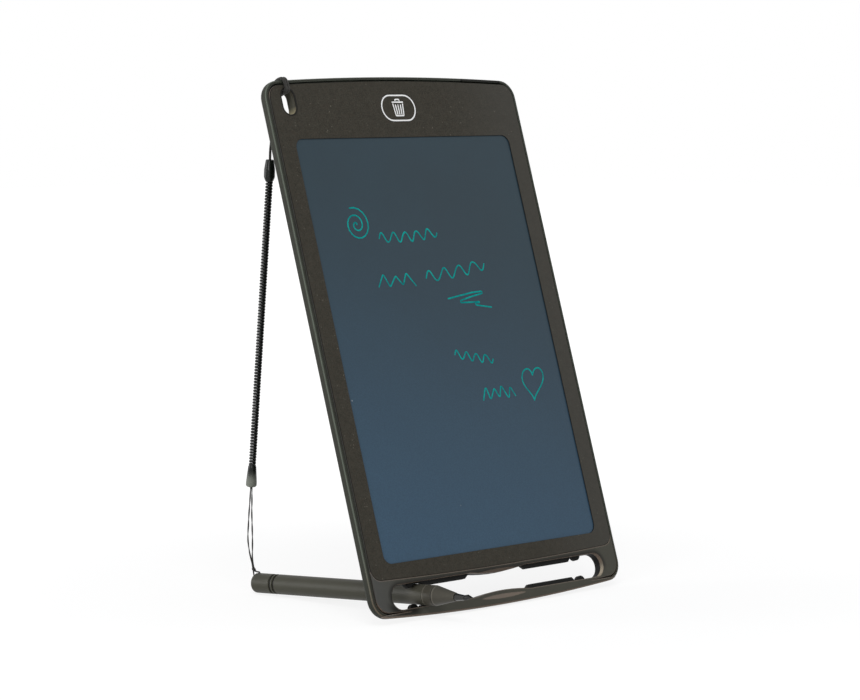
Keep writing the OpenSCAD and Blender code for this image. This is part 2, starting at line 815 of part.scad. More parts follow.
// Spring leaf over the cell, soldered to the board
module contact_top() {
  foot = board_right - 3;
  leaf = z_cell + cell_t + 0.03;
  color("gold")
    place_tablet()
      translate([0, contact_low_v + 2, 0])
        rotate([90, 0, 0])
          linear_extrude(4)
            polygon([[foot, z_parts], [board_right, z_parts], [board_right, leaf], [drawer_u, leaf],
              [drawer_u, leaf + contact_t], [board_right - contact_t, leaf + contact_t],
              [board_right - contact_t, z_parts + contact_t], [foot, z_parts + contact_t]]);
}

// Spring finger that reaches the side of the cell
module contact_side() {
  reach = drawer_u - cell_d / 2 - 0.08;
  color("gold")
    place_tablet()
      translate([board_right - 3, contact_v - 2, z_parts])
        cube([reach - board_right + 3, 4, contact_t * 3]);
}

module battery_drawer() {
  color("dimgray")
    place_tablet() {
      intersection() {
        difference() {
          body_solid();
          translate([0, 0, -1])
            linear_extrude(body_t + 2)
              polygon(outline_points(rim_wall));
        }
        lid_box(0);
      }
      difference() {
        translate([drawer_u - tray_w / 2, tray_v, z_tray])
          cube([tray_w, body_h - lid_drop - rim_wall * 0.6 - tray_v, tray_floor + tray_h]);
        translate([drawer_u, cell_v, z_cell])
          cylinder(d = cell_d + 2 * cell_gap, h = cell_t + 1);
        translate([drawer_u, cell_v, 0])
          cylinder(d = cell_d * 0.6, h = z_cell + 1);
        translate([drawer_u - tray_w, tray_v - 1, z_cell])
          cube([tray_w / 2 + cell_d * 0.15, contact_v + 3.4 - tray_v, cell_t + 1]);
      }
    }
}

module coin_cell() {
  color("silver")
    place_tablet()
      translate([drawer_u, cell_v, z_cell])
        rotate_extrude()
          polygon([[0, 0], [cell_d / 2 - 0.3, 0], [cell_d / 2, 0.3], [cell_d / 2, cell_t - 0.35],
            [cell_d / 2 - 0.8, cell_t - 0.15], [cell_d / 2 - 1.2, cell_t - 0.15],
            [cell_d / 2 - 1.35, cell_t], [0, cell_t]]);
}

// Grooves near the tail, cut from cap and barrel alike
module tail_grooves() {
  for (k = [0, 1])
    translate([0, 0, cap_l - groove_w / 2 + k * groove_pitch])
      rotate_extrude()
        translate([stylus_r - groove_depth, 0])
          square([2, groove_w]);
}

module stylus_barrel() {
  color("darkslategray")
    place_stylus()
      difference() {
        translate([0, 0, cap_l])
          cylinder(r = stylus_r, h = collar_s - cap_l);
        translate([0, 0, cap_l - 1])
          cylinder(r = bore_r, h = collar_s - cap_l + 2);
        tail_grooves();
      }
}

// Flat-ended cap with a spigot in the barrel and a slanted eye for the thread
module stylus_tail_cap() {
  color("dimgray")
    place_stylus()
      difference() {
        union() {
          rotate_extrude()
            intersection() {
              union() {
                square([stylus_r - tail_round, cap_l]);
                translate([0, tail_round])
                  square([stylus_r, cap_l - tail_round]);
                translate([stylus_r - tail_round, tail_round])
                  circle(r = tail_round);
              }
              square([stylus_r, cap_l]);
            }
          translate([0, 0, cap_l - 1])
            cylinder(r = bore_r - 0.1, h = 7);
        }
        tail_grooves();
        translate([0, 1.9, 0])
          rotate([-45, 0, 0])
            translate([0, 0, -6])
              cylinder(d = eye_d, h = 14);
      }
}

module stylus_collar() {
  color("gray")
    place_stylus()
      translate([0, 0, collar_s])
        rotate_extrude()
          polygon([[bore_r, 0], [stylus_r - 0.25, 0], [stylus_r, 0.25], [stylus_r, collar_l - 0.25],
            [stylus_r - 0.25, collar_l], [bore_r, collar_l]]);
}

module stylus_nose() {
  color("dimgray")
    place_stylus()
      difference() {
        rotate_extrude()
          polygon([[0, collar_s - 5], [bore_r - 0.1, collar_s - 5], [bore_r - 0.1, nose_s],
            [stylus_r - 0.1, nose_s], [stylus_r - 0.1, nose_s + 0.2], [nose_d / 2, holder_s], [0, holder_s]]);
        translate([0, 0, holder_s - 7])
          cylinder(d = holder_d - 0.6, h = 8);
      }
}

module nib_holder() {
  color("silver")
    place_stylus()
      difference() {
        rotate_extrude()
          polygon([[0, holder_s - 6.8], [holder_d / 2 - 0.4, holder_s - 6.8], [holder_d / 2 - 0.4, holder_s],
            [holder_d / 2, holder_s], [holder_d / 2, holder_s + 0.6], [nib_d / 2 + 0.1, nib_s], [0, nib_s]]);
        translate([0, 0, holder_s - 3])
          cylinder(d = nib_d - 0.7, h = stylus_l);
      }
}

module stylus_nib() {
  color("black")
    place_stylus()
      rotate_extrude()
        intersection() {
          union() {
            translate([0, holder_s - 2.9])
              square([nib_d / 2 - 0.45, nib_s - holder_s + 3]);
            polygon([[0, nib_s], [nib_d / 2, nib_s], [nib_d / 2, nib_s + 0.8], [point_r, stylus_l - point_r],
              [0, stylus_l - point_r]]);
            translate([0, stylus_l - point_r])
              circle(r = point_r);
          }
          translate([0, holder_s - 4])
            square([stylus_r, stylus_l]);
        }
}

// Doubled thread knotted through the hole and round the top edge of the tablet
module lanyard_loop() {
  route = closed_curve([for (p = loop_route) tablet_point(p + [loop_u, loop_v, 0])], 2);
  color("black")
    tube(route, loop_d, 8, true);
}

module lanyard_thread() {
  route = open_curve([for (p = thread_route) tablet_point(p + [loop_u, loop_v, 0])], 2);
  color("black")
    tube(route, thread_d, 8);
}

// Ferrules as pairs of a share of the length and a diameter, from the thread to the coil
top_ferrule_form = [[0, 3], [0.04, 3.5], [0.45, ferrule_d], [0.8, ferrule_d], [0.96, ferrule_tip_d],
  [1, ferrule_tip_d - 0.5]];
low_ferrule_form = [[0, ferrule_d - 0.8], [0.05, ferrule_d], [0.2, ferrule_d], [0.9, ferrule_tip_d],
  [1, ferrule_tip_d - 0.7]];

// Ferrule from its thread end at a to its coil end at b
module ferrule(a, b, form) {
  v = b - a;
  l = norm(v);
  translate(a)
    rotate([0, acos(v[2] / l), atan2(v[1], v[0])])
      rotate_extrude()
        polygon(concat([[0, 0.05]], [for (q = form) [q[1] / 2, 0.05 + q[0] * (l - 0.1)]], [[0, l - 0.05]]));
}

top_wide = tablet_point(top_ferrule_at + [loop_u, loop_v, 0]);
coil_start = tablet_point(coil_top_at + [loop_u, loop_v, 0]);
low_wide = stylus_point(low_ferrule_at);
coil_end = stylus_point(coil_low_at);

module lanyard_top_ferrule() {
  color("darkgreen")
    ferrule(top_wide, coil_start, top_ferrule_form);
}

module lanyard_low_ferrule() {
  color("darkgreen")
    ferrule(low_wide, coil_end, low_ferrule_form);
}

// Coil between the ferrules: straight at both ends for one diameter, then eased into even curls
coil_l = norm(coil_end - coil_start);
coil_axis = (coil_end - coil_start) / coil_l;
coil_side = unit(cross(coil_axis, [1, 0, 0]));
coil_out = cross(coil_axis, coil_side);
coil_r = (coil_od - coil_wire) / 2;
lead_angle = [0, 0, 12, 34, 65];
lead_run = [0, 1, 1.55, 1.95, 2.25];
coil_gap = 0.15;
even_l = coil_l - 2 * (coil_gap + lead_run[4] * coil_wire);
even_steps = coil_turns * 8 - 3;
coil_rings = concat(
  [for (k = [0 : 4]) [lead_angle[k], coil_gap + lead_run[k] * coil_wire]],
  [for (k = [1 : even_steps - 1]) [65 + 45 * k,
    coil_gap + lead_run[4] * coil_wire + even_l * k / even_steps]],
  [for (k = [4 : -1 : 0]) [130 + 45 * even_steps - lead_angle[k],
    coil_l - coil_gap - lead_run[k] * coil_wire]]);
function ring_side(a) = cos(a) * coil_side + sin(a) * coil_out;
coil_centres = [for (q = coil_rings) coil_start + coil_axis * q[1] + coil_r * ring_side(q[0])];
coil_count = len(coil_rings);
self_gap = min([for (i = [0 : coil_count - 7]) for (j = [i + 6 : min(i + 11, coil_count - 1)])
  norm(coil_centres[i] - coil_centres[j])]) - coil_wire;
echo(coil_least_gap = self_gap);

module lanyard_coil() {
  n = coil_count;
  t = [for (i = [0 : n - 1]) i == 0 || i == n - 1 ? coil_axis
    : unit(unit(coil_centres[i + 1] - coil_centres[i]) + unit(coil_centres[i] - coil_centres[i - 1]))];
  e = [for (q = coil_rings) ring_side(q[0])];
  color("darkolivegreen")
    ring_tube(coil_centres, t, e, coil_wire, 6);
}

module lanyard_tail_loop() {
  route = open_curve([for (p = tail_route) stylus_point(p)], 2);
  color("black")
    tube(route, tail_thread_d, 8);
}

rear_shell();
front_frame();
front_overlay();
overlay_tape();
writing_film();
film_backing();
film_tail();
circuit_board();
tail_socket();
driver_chip();
boost_coil();
chip_capacitors();
switch_body();
switch_plunger();
erase_button();
contact_top();
contact_side();
battery_drawer();
coin_cell();
stylus_barrel();
stylus_tail_cap();
stylus_collar();
stylus_nose();
nib_holder();
stylus_nib();
lanyard_loop();
lanyard_thread();
lanyard_top_ferrule();
lanyard_coil();
lanyard_low_ferrule();
lanyard_tail_loop();
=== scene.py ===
# Liquid-crystal writing tablet that leans back on its own stylus, with a coiled lanyard between the two.
# Lengths are millimetres in the tables below and metres in the scene.

import math

import bmesh
import bpy
from mathutils import Matrix, Vector


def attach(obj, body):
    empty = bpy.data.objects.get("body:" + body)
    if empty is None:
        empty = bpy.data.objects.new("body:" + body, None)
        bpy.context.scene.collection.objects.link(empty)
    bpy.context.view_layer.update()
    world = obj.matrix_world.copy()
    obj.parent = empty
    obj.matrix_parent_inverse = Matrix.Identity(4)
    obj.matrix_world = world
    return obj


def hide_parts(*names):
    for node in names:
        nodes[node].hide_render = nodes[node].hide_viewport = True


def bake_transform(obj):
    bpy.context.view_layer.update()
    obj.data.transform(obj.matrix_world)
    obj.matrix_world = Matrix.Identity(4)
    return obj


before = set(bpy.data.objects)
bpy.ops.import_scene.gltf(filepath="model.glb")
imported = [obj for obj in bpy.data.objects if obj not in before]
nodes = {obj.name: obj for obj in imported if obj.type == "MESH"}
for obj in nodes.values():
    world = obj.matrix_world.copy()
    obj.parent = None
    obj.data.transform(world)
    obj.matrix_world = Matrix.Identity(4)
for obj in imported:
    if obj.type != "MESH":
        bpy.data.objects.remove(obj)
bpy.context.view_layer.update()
mm = 0.001


# Camera, lamps and floor of a plain white studio.
# A long lens stands to the left of the tablet and a little above the table. One broad lamp hangs at
# the upper left, a weaker one stands to the right, and two low ones at the left light the side wall.

def turn_towards(place, target):
    """The turn that aims a lamp at a target."""
    return (Vector(target) - Vector(place)).to_track_quat("-Z", "Y").to_euler()


lens = bpy.data.cameras.new("studio_lens")
lens.lens = 125.58
lens.sensor_fit = "HORIZONTAL"
lens.sensor_width = 36
lens.clip_start = 0.05
camera = bpy.data.objects.new("studio_camera", lens)
camera.matrix_world = Matrix((
    (0.71292, 0.06271, -0.69843, -0.88314),
    (-0.70124, 0.06375, -0.71007, -0.89096),
    (0.0, 0.99599, 0.08942, 0.21636),
    (0, 0, 0, 1)))
bpy.context.scene.collection.objects.link(camera)
bpy.context.scene.camera = camera
bpy.context.scene.view_settings.view_transform = "Standard"

for lamp_name, lamp_at, lamp_aim, lamp_size, lamp_watts in (
        ("broad_lamp", (-0.9, -0.9, 1.7), (0, 0, 0.1), (1.0, 1.0), 13),
        ("fill_lamp", (1.5, -1.1, 0.9), (0, 0, 0.1), (1.0, 1.0), 3),
        ("side_lamp", (-1.4, -0.5, 0.4), (-0.05, 0, 0.1), (0.4, 0.7), 6),
        ("strip_lamp", (-1.2, 1.0, 0.3), (-0.05, 0, 0.1), (0.5, 0.8), 8)):
    lamp = bpy.data.lights.new(lamp_name, "AREA")
    lamp.shape = "RECTANGLE"
    lamp.size, lamp.size_y = lamp_size
    lamp.energy = lamp_watts
    lamp_stand = bpy.data.objects.new(lamp_name, lamp)
    lamp_stand.location = lamp_at
    lamp_stand.rotation_euler = turn_towards(lamp_at, lamp_aim)
    bpy.context.scene.collection.objects.link(lamp_stand)


class Net:
    """One socket of a node tree: sums on it add Math nodes, and node() adds any other kind."""

    def __init__(self, tree, socket=None):
        self.tree = tree
        self.socket = socket

    def node(self, kind, sockets=(), give=0, **settings):
        made = self.tree.nodes.new(kind)
        for name, value in settings.items():
            setattr(made, name, value)
        for key, value in dict(sockets).items():
            if isinstance(value, Net):
                self.tree.links.new(value.socket, made.inputs[key])
            else:
                made.inputs[key].default_value = value
        return Net(self.tree, made.outputs[give])

    def sum(self, operation, *terms):
        return self.node("ShaderNodeMath", dict(enumerate(terms)), operation=operation)

    def __add__(self, other):
        return self.sum("ADD", self, other)

    def __radd__(self, other):
        return self.sum("ADD", other, self)

    def __sub__(self, other):
        return self.sum("SUBTRACT", self, other)

    def __rsub__(self, other):
        return self.sum("SUBTRACT", other, self)

    def __mul__(self, other):
        return self.sum("MULTIPLY", self, other)

    def __rmul__(self, other):
        return self.sum("MULTIPLY", other, self)

    def __truediv__(self, other):
        return self.sum("DIVIDE", self, other)

    def between(self, low, high, start=0.0, end=1.0):
        """This value from low to high, eased into start to end."""
        return self.node("ShaderNodeMapRange", {0: self, 1: low, 2: high, 3: start, 4: end},
                         interpolation_type="SMOOTHSTEP")

    def mixed(self, first, second):
        """The first colour at 0 and the second at 1."""
        return self.node("ShaderNodeMix", {0: self, 6: first, 7: second}, give=2, data_type="RGBA")


def srgb(red, green, blue):
    """A colour as a picture shows it, from 0 to 255, as the linear colour of a shader."""
    shades = [c / 255 / 12.92 if c <= 10 else ((c / 255 + 0.055) / 1.055) ** 2.4
              for c in (red, green, blue)]
    return (*shades, 1)


def show_white(tree, out_kind):
    """A mask of 1 for what the lens, a gloss or clear plastic sees directly, and the tree's output."""
    seen = Net(tree).node("ShaderNodeLightPath", give="Is Camera Ray")
    ways = seen.socket.node.outputs
    for way in ("Is Glossy Ray", "Is Transmission Ray"):
        seen = seen.sum("MAXIMUM", seen, Net(tree, ways[way]))
    return seen, tree.nodes[out_kind]


studio = bpy.data.worlds.new("studio_air")
studio.use_nodes = True
bpy.context.scene.world = studio
seen_directly, studio_out = show_white(studio.node_tree, "World Output")
soft_air = seen_directly.node("ShaderNodeBackground", {"Color": (0.97, 0.985, 1, 1), "Strength": 0.36})
white_air = seen_directly.node("ShaderNodeBackground", {"Color": (1, 1, 1, 1), "Strength": 1.0})
air = seen_directly.node("ShaderNodeMixShader", {0: seen_directly, 1: soft_air, 2: white_air})
studio.node_tree.links.new(air.socket, studio_out.inputs["Surface"])

floor_reach = 4
floor_drop = 0.2 * mm
floor_mesh = bpy.data.meshes.new("studio_floor")
floor_mesh.from_pydata([(x * floor_reach, y * floor_reach, -floor_drop)
                        for x, y in ((-1, -1), (1, -1), (1, 1), (-1, 1))], [], [(0, 1, 2, 3)])
studio_floor = bpy.data.objects.new("studio_floor", floor_mesh)
bpy.context.scene.collection.objects.link(studio_floor)
floor_paint = bpy.data.materials.new("floor_paint")
floor_paint.use_nodes = True
seen_directly, floor_out = show_white(floor_paint.node_tree, "Material Output")
floor_paint.node_tree.nodes.remove(floor_paint.node_tree.nodes["Principled BSDF"])
matt_floor = seen_directly.node("ShaderNodeBsdfDiffuse", {"Color": (0.92, 0.92, 0.92, 1)})
white_floor = seen_directly.node("ShaderNodeEmission", {"Color": (1, 1, 1, 1), "Strength": 1.12})
from_middle = seen_directly.node("ShaderNodeVectorMath", {
    0: seen_directly.node("ShaderNodeTexCoord", give="Object")}, give="Value", operation="LENGTH")
pale = seen_directly.node("ShaderNodeMixShader", {
    0: seen_directly * from_middle.between(0.12, 0.5, 0.74, 1.0), 1: matt_floor, 2: white_floor})
floor_paint.node_tree.links.new(pale.socket, floor_out.inputs["Surface"])
floor_mesh.materials.append(floor_paint)


# Lanyard loop and thread: a doubled nylon thread, hitched through the hole and over the top edge.
# Its two strands lie side by side in the loop, and twist together on the way down to the upper ferrule.

lean = math.radians(17.4)
tablet_frame = (Matrix.Translation((0, -33.30046 * mm, -0.63334 * mm))
                @ Matrix.Rotation(math.pi / 2 - lean, 4, "X") @ Matrix.Scale(mm, 4))
stylus_swing = math.radians(4.8)
stylus_rise = math.radians(90 - 3.272276)
stylus_seat = 91.9
stylus_frame = (Matrix.Translation(Vector((-44.7, -32.78537, 9.37039)) * mm)
                @ Matrix.Rotation(stylus_swing, 4, "Z") @ Matrix.Rotation(stylus_rise, 4, "X")
                @ Matrix.Scale(mm, 4) @ Matrix.Translation((0, 0, -stylus_seat)))

loop_route = (
    (-61.2, 215.6, -4.4), (-61.3, 217.6, -3), (-61.4, 219.4, -1.9), (-61.5, 220.7, -0.5),
    (-61.5, 221.05, 1), (-61.5, 221.1, 2.6), (-61.5, 221.1, 4.1), (-61.5, 221.25, 5),
    (-61.5, 221.6, 5.6), (-61.5, 222.3, 5.82), (-61.5, 223.4, 5.8), (-61.55, 224.6, 5.78),
    (-61.6, 225.6, 5.65), (-61.65, 226.5, 5.2), (-61.7, 227, 4.4), (-61.75, 227.1, 3.5),
    (-61.8, 227.08, 2.5), (-61.85, 226.64, 0.87), (-61.85, 225.45, -0.35), (-61.85, 223.8, -0.85),
    (-61.8, 222.2, -1.35), (-61.75, 220.6, -2.6), (-61.7, 218.6, -4), (-61.6, 216.9, -5),
    (-61.5, 215.4, -5.9))
thread_route = (
    (-62.6, 222.6, -2.3), (-62, 220.2, -2.4), (-61.4, 217, -5), (-60.4, 211, -9), (-59.2, 205, -13.2),
    (-58, 198.8, -17), (-57.93, 196.7, -17.9))


def smooth_route(points, place, steps):
    """Points on one smooth curve through a route, in the scene's frame."""
    spots = [place @ Vector(p) for p in points]
    line = []
    for i in range(len(spots) - 1):
        a, b, c, d = (spots[min(max(i + k, 0), len(spots) - 1)] for k in (-1, 0, 1, 2))
        for k in range(steps):
            t = k / steps
            line.append(0.5 * (2 * b + (c - a) * t + (2 * a - 5 * b + 4 * c - d) * t ** 2
                               + (3 * b - a - 3 * c + d) * t ** 3))
    return line + [spots[-1]]


def route_length(line):
    """Length along a line of points."""
    return sum((b - a).length for a, b in zip(line, line[1:]))


def new_tree(name, inputs):
    """A Geometry Nodes tree with a mesh in, a mesh out and named inputs for its sizes."""
    tree = bpy.data.node_groups.new(name, "GeometryNodeTree")
    tree.interface.new_socket("Geometry", in_out="INPUT", socket_type="NodeSocketGeometry")
    tree.interface.new_socket("Geometry", in_out="OUTPUT", socket_type="NodeSocketGeometry")
    for label, kind in inputs:
        tree.interface.new_socket(label, in_out="INPUT", socket_type="NodeSocket" + kind)
    source = tree.nodes.new("NodeGroupInput")
    result = tree.nodes.new("NodeGroupOutput")
    given = {s.name: Net(tree, s) for s in source.outputs if s.name}
    return tree, given, result


def close_tree(tree, result, shape, material):
    """Ends a tree: instances made real, faces smooth, one material."""
    real = shape.node("GeometryNodeRealizeInstances", {0: shape})
    smooth = real.node("GeometryNodeSetShadeSmooth", {0: real})
    dressed = smooth.node("GeometryNodeSetMaterial", {0: smooth, "Material": material})
    tree.links.new(dressed.socket, result.inputs[0])


def grown(name, tree, mesh, values, place=None):
    """Runs a tree on a mesh and keeps the result as a plain mesh object at the origin."""
    piece = bpy.data.objects.new(name, mesh)
    bpy.context.scene.collection.objects.link(piece)
    modifier = piece.modifiers.new(name, "NODES")
    modifier.node_group = tree
    for item in tree.interface.items_tree:
        if item.in_out == "INPUT" and item.name in values:
            modifier[item.identifier] = values[item.name]
    bpy.context.view_layer.update()
    ready = piece.evaluated_get(bpy.context.evaluated_depsgraph_get())
    plain = bpy.data.meshes.new_from_object(ready)
    piece.modifiers.clear()
    piece.data = plain
    plain.name = name
    if place is not None:
        plain.transform(place)
    return piece


def line_mesh(name, lines, closed=False):
    """A mesh of bare edges along each line of points."""
    mesh = bpy.data.meshes.new(name)
    points, edges = [], []
    for line in lines:
        first = len(points)
        points += line
        edges += [(first + i, first + i + 1) for i in range(len(line) - 1)]
        if closed:
            edges.append((len(points) - 1, first))
    mesh.from_pydata(points, edges, [])
    return mesh


def new_finish(name):
    """A material with its shader, and the net that its nodes grow from."""
    material = bpy.data.materials.new(name)
    material.use_nodes = True
    shader = material.node_tree.nodes["Principled BSDF"]
    return material, shader, Net(material.node_tree)


def dress(net, shader, **sockets):
    """Sets or links the shader's sockets; an underscore stands for a space."""
    for key, value in sockets.items():
        port = shader.inputs[key.replace("_", " ")]
        if isinstance(value, Net):
            net.tree.links.new(value.socket, port)
        else:
            port.default_value = value


weave_per_metre = 3400
thread_nylon, shader, net = new_finish("thread_nylon")
around = net.node("ShaderNodeAttribute", give="Fac", attribute_name="around")
filaments = net.node("ShaderNodeAttribute", give="Fac", attribute_name="along") * weave_per_metre
right_lay = net.sum("SINE", (filaments + around) * (2 * math.pi))
left_lay = net.sum("SINE", (filaments - around) * (2 * math.pi))
weave = net.sum("MAXIMUM", right_lay, left_lay).between(-0.4, 1.0)
place = net.node("ShaderNodeTexCoord", give="Object")
fuzz = net.node("ShaderNodeTexNoise", {"Vector": place, "Scale": 2600.0, "Detail": 3.0})
raised = net.node("ShaderNodeBump", {"Height": weave + fuzz * 0.4, "Strength": 0.5, "Distance": 0.00006})
dress(net, shader, Base_Color=(weave * 0.8 + fuzz * 0.3).mixed(srgb(16, 16, 14), srgb(38, 36, 31)),
      Roughness=0.75 - weave * 0.2, Normal=raised, Sheen_Weight=0.15, Specular_IOR_Level=0.3)


def along_way(net, first, second):
    """How far one direction points along another, or a place lies along it."""
    return net.node("ShaderNodeVectorMath", {0: first, 1: second}, give="Value", operation="DOT_PRODUCT")


strand_tree, given, result = new_tree("thread_strands", (
    ("strands", "Int"), ("strand radius", "Float"), ("lay radius", "Float"), ("twist", "Float"),
    ("spread", "Vector")))
line = given["Geometry"].node("GeometryNodeMeshToCurve", {0: given["Geometry"]})
copies = line.node("GeometryNodeDuplicateElements", {"Geometry": line, "Amount": given["strands"]},
                   domain="SPLINE")
copy_number = Net(strand_tree, copies.socket.node.outputs["Duplicate Index"])
ahead = line.node("GeometryNodeInputTangent")
length = line.node("GeometryNodeSplineParameter", give="Length")
along_part = along_way(line, ahead, given["spread"])
lengthwise = line.node("ShaderNodeVectorMath", {0: ahead, "Scale": along_part}, operation="SCALE")
crosswise = line.node("ShaderNodeVectorMath", {0: given["spread"], 1: lengthwise}, operation="SUBTRACT")
crosswise = line.node("ShaderNodeVectorMath", {0: crosswise}, operation="NORMALIZE")
turned = line.node("ShaderNodeVectorRotate", {
    "Vector": crosswise, "Axis": ahead,
    "Angle": length * given["twist"] + copy_number * (2 * math.pi) / given["strands"]},
    rotation_type="AXIS_ANGLE")
aside = line.node("ShaderNodeVectorMath", {0: turned, "Scale": given["lay radius"]}, operation="SCALE")
laid = line.node("GeometryNodeSetPosition", {"Geometry": copies, "Offset": aside})
marked = line.node("GeometryNodeStoreNamedAttribute", {"Geometry": laid, "Name": "along", "Value": length},
                   data_type="FLOAT", domain="POINT")
ring = line.node("GeometryNodeCurvePrimitiveCircle", {"Resolution": 10, "Radius": given["strand radius"]})
ring = line.node("GeometryNodeStoreNamedAttribute", {
    "Geometry": ring, "Name": "around", "Value": line.node("GeometryNodeSplineParameter", give="Factor")},
    data_type="FLOAT", domain="POINT")
strand = line.node("GeometryNodeCurveToMesh", {"Curve": marked, "Profile Curve": ring, "Fill Caps": True})
close_tree(strand_tree, result, strand, thread_nylon)


def outward(piece):
    """Turns the faces outwards once the doubles are merged."""
    work = bmesh.new()
    work.from_mesh(piece.data)
    bmesh.ops.remove_doubles(work, verts=work.verts, dist=1e-7)
    bmesh.ops.recalc_face_normals(work, faces=work.faces)
    work.to_mesh(piece.data)
    work.free()
    return piece


loop_line = smooth_route(loop_route, tablet_frame, steps=6)
lanyard_loop = outward(grown("lanyard_loop_thread", strand_tree, line_mesh("loop_line", [loop_line]), {
    "strands": 2, "strand radius": 0.66 * mm, "lay radius": 0.63 * mm, "twist": 0.0,
    "spread": (1, 0, 0)}))
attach(lanyard_loop, "tablet")
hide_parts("lanyard_loop")
loop_length = route_length(loop_line)

thread_line = smooth_route(thread_route, tablet_frame, steps=8)
thread_mesh = line_mesh("thread_line", [thread_line])
lanyard_thread = outward(grown("lanyard_hanging_thread", strand_tree, thread_mesh, {
    "strands": 2, "strand radius": 0.3 * mm, "lay radius": 0.24 * mm, "twist": 260.0,
    "spread": (1, 0, 0)}))
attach(lanyard_thread, "tablet")
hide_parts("lanyard_thread")
thread_length = route_length(thread_line)


# Curly cord of the lanyard: one black plastic cord wound into even curls, which spring back.
# Both ends are glued into the ferrules; it stretches between the tablet and the stylus's tail.

coil_top = tablet_frame @ Vector((-57.7, 190.2, -20.6))
coil_low = stylus_frame @ Vector((0, 50.4, 0.8))
coil_turns = 96
coil_radius = 1.04 * mm
coil_wire = 0.57 * mm
coil_points = 16
coil_bury = 0.7 * mm

curl_plastic, shader, net = new_finish("curl_plastic")
place = net.node("ShaderNodeTexCoord", give="Object")
scuff = net.node("ShaderNodeTexNoise", {"Vector": place, "Scale": 900.0, "Detail": 4.0})
bloom = net.node("ShaderNodeTexNoise", {"Vector": place, "Scale": 120.0, "Detail": 2.0})
dress(net, shader, Base_Color=(bloom * 0.7 + scuff * 0.3).mixed(srgb(7, 9, 8), srgb(17, 20, 18)),
      Roughness=0.16 + scuff * 0.16, Coat_Weight=0.1, Coat_Roughness=0.08, Specular_IOR_Level=0.2,
      Normal=net.node("ShaderNodeBump", {"Height": scuff, "Strength": 0.12, "Distance": 0.00003}))

coil_tree, given, result = new_tree("curly_cord", (
    ("top", "Vector"), ("low", "Vector"), ("curls", "Float"), ("curl radius", "Float"),
    ("cord radius", "Float"), ("points", "Int")))
core = given["top"].node("GeometryNodeCurvePrimitiveLine", {"Start": given["top"], "End": given["low"]})
core = core.node("GeometryNodeResampleCurve", {"Curve": core, "Count": given["points"]})
axis = core.node("ShaderNodeVectorMath", {0: given["low"], 1: given["top"]}, operation="SUBTRACT")
side = core.node("ShaderNodeVectorMath", {0: axis, 1: (1, 0, 0)}, operation="CROSS_PRODUCT")
side = core.node("ShaderNodeVectorMath", {0: side}, operation="NORMALIZE")
share = core.node("GeometryNodeSplineParameter", give="Factor")
swung = core.node("ShaderNodeVectorRotate", {"Vector": side, "Axis": axis,
                                             "Angle": share * given["curls"] * (2 * math.pi)},
                  rotation_type="AXIS_ANGLE")
swung = core.node("ShaderNodeVectorMath", {0: swung, "Scale": given["curl radius"]}, operation="SCALE")
wound = core.node("GeometryNodeSetPosition", {"Geometry": core, "Offset": swung})
ring = core.node("GeometryNodeCurvePrimitiveCircle", {"Resolution": 10, "Radius": given["cord radius"]})
curl = core.node("GeometryNodeCurveToMesh", {"Curve": wound, "Profile Curve": ring, "Fill Caps": True})
close_tree(coil_tree, result, curl, curl_plastic)

coil_down = (coil_low - coil_top).normalized()
coil_from = coil_top - coil_down * coil_bury
coil_to = coil_low + coil_down * coil_bury
coil_count = coil_turns * coil_points + 1
coil_side = (coil_to - coil_from).cross(Vector((1, 0, 0))).normalized()
coil_line = [coil_from.lerp(coil_to, k / (coil_count - 1))
             + Matrix.Rotation(2 * math.pi * k / coil_points, 3, coil_down) @ coil_side * coil_radius
             for k in range(coil_count)]
lanyard_coil = outward(grown("lanyard_curly_cord", coil_tree, bpy.data.meshes.new("coil_core"), {
    "top": coil_from, "low": coil_to, "curls": float(coil_turns), "curl radius": coil_radius,
    "cord radius": coil_wire, "points": coil_count}))
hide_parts("lanyard_coil")
coil_length = route_length(coil_line)
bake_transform(lanyard_coil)


# Tail loop: one thin nylon thread from the lower ferrule through the eye in the stylus's tail and back.
# A small knot of three turns draws it tight at the eye, and the ferrule holds both ends.

tail_route = (
    (0.7, 42.6, -0.7), (0.85, 40.8, -1), (0.85, 36, -1.2), (0.8, 30, -1.65), (1.1, 25, -2.1),
    (1.35, 19.2, -2.5), (1, 14, -2.5), (0.4, 10.1, -2.2), (0.3, 7, -1.5), (0.26, 5.6, -0.9),
    (0.2, 4.8, -0.1), (0.1, 4.66, 1.1), (0, 4.5, 2.1), (0, 3.9, 2.05), (0, 3.05, 1.15), (0, 2.1, 0.2),
    (-0.1, 1.6, -0.5), (-0.25, 2.4, -1), (-0.3, 4.2, -1.15), (-0.3, 5.6, -1.3), (-0.32, 7, -1.6),
    (-0.4, 10.1, -2.25), (-1, 14, -2.5), (-1.35, 19.2, -2.55), (-1.1, 25, -2.1), (-0.8, 30, -1.7),
    (-0.2, 36, -1.3), (-0.05, 40.8, -0.8), (0, 42.6, -0.5))
knot_turns = 3
knot_steps = 12
knot_start = (5, -0.95)
knot_reach = (0.62, 0.2, 0.5)
knot_climb = (0.03, 0.012)
tail_line = smooth_route(tail_route, stylus_frame, steps=6)
knot_line = []
for k in range(knot_steps * knot_turns + 1):
    cosine = math.cos(2 * math.pi * k / knot_steps)
    sine = math.sin(2 * math.pi * k / knot_steps)
    knot_line.append(stylus_frame @ Vector((
        knot_reach[0] * cosine, knot_start[0] + knot_climb[0] * k - knot_reach[1] * sine,
        knot_start[1] - knot_climb[1] * k + knot_reach[2] * sine)))
tail_mesh = line_mesh("tail_line", [tail_line, knot_line])
lanyard_tail = outward(grown("lanyard_tail_thread", strand_tree, tail_mesh, {
    "strands": 2, "strand radius": 0.2 * mm, "lay radius": 0.14 * mm, "twist": 500.0,
    "spread": (1, 0, 0)}))
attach(lanyard_tail, "stylus")
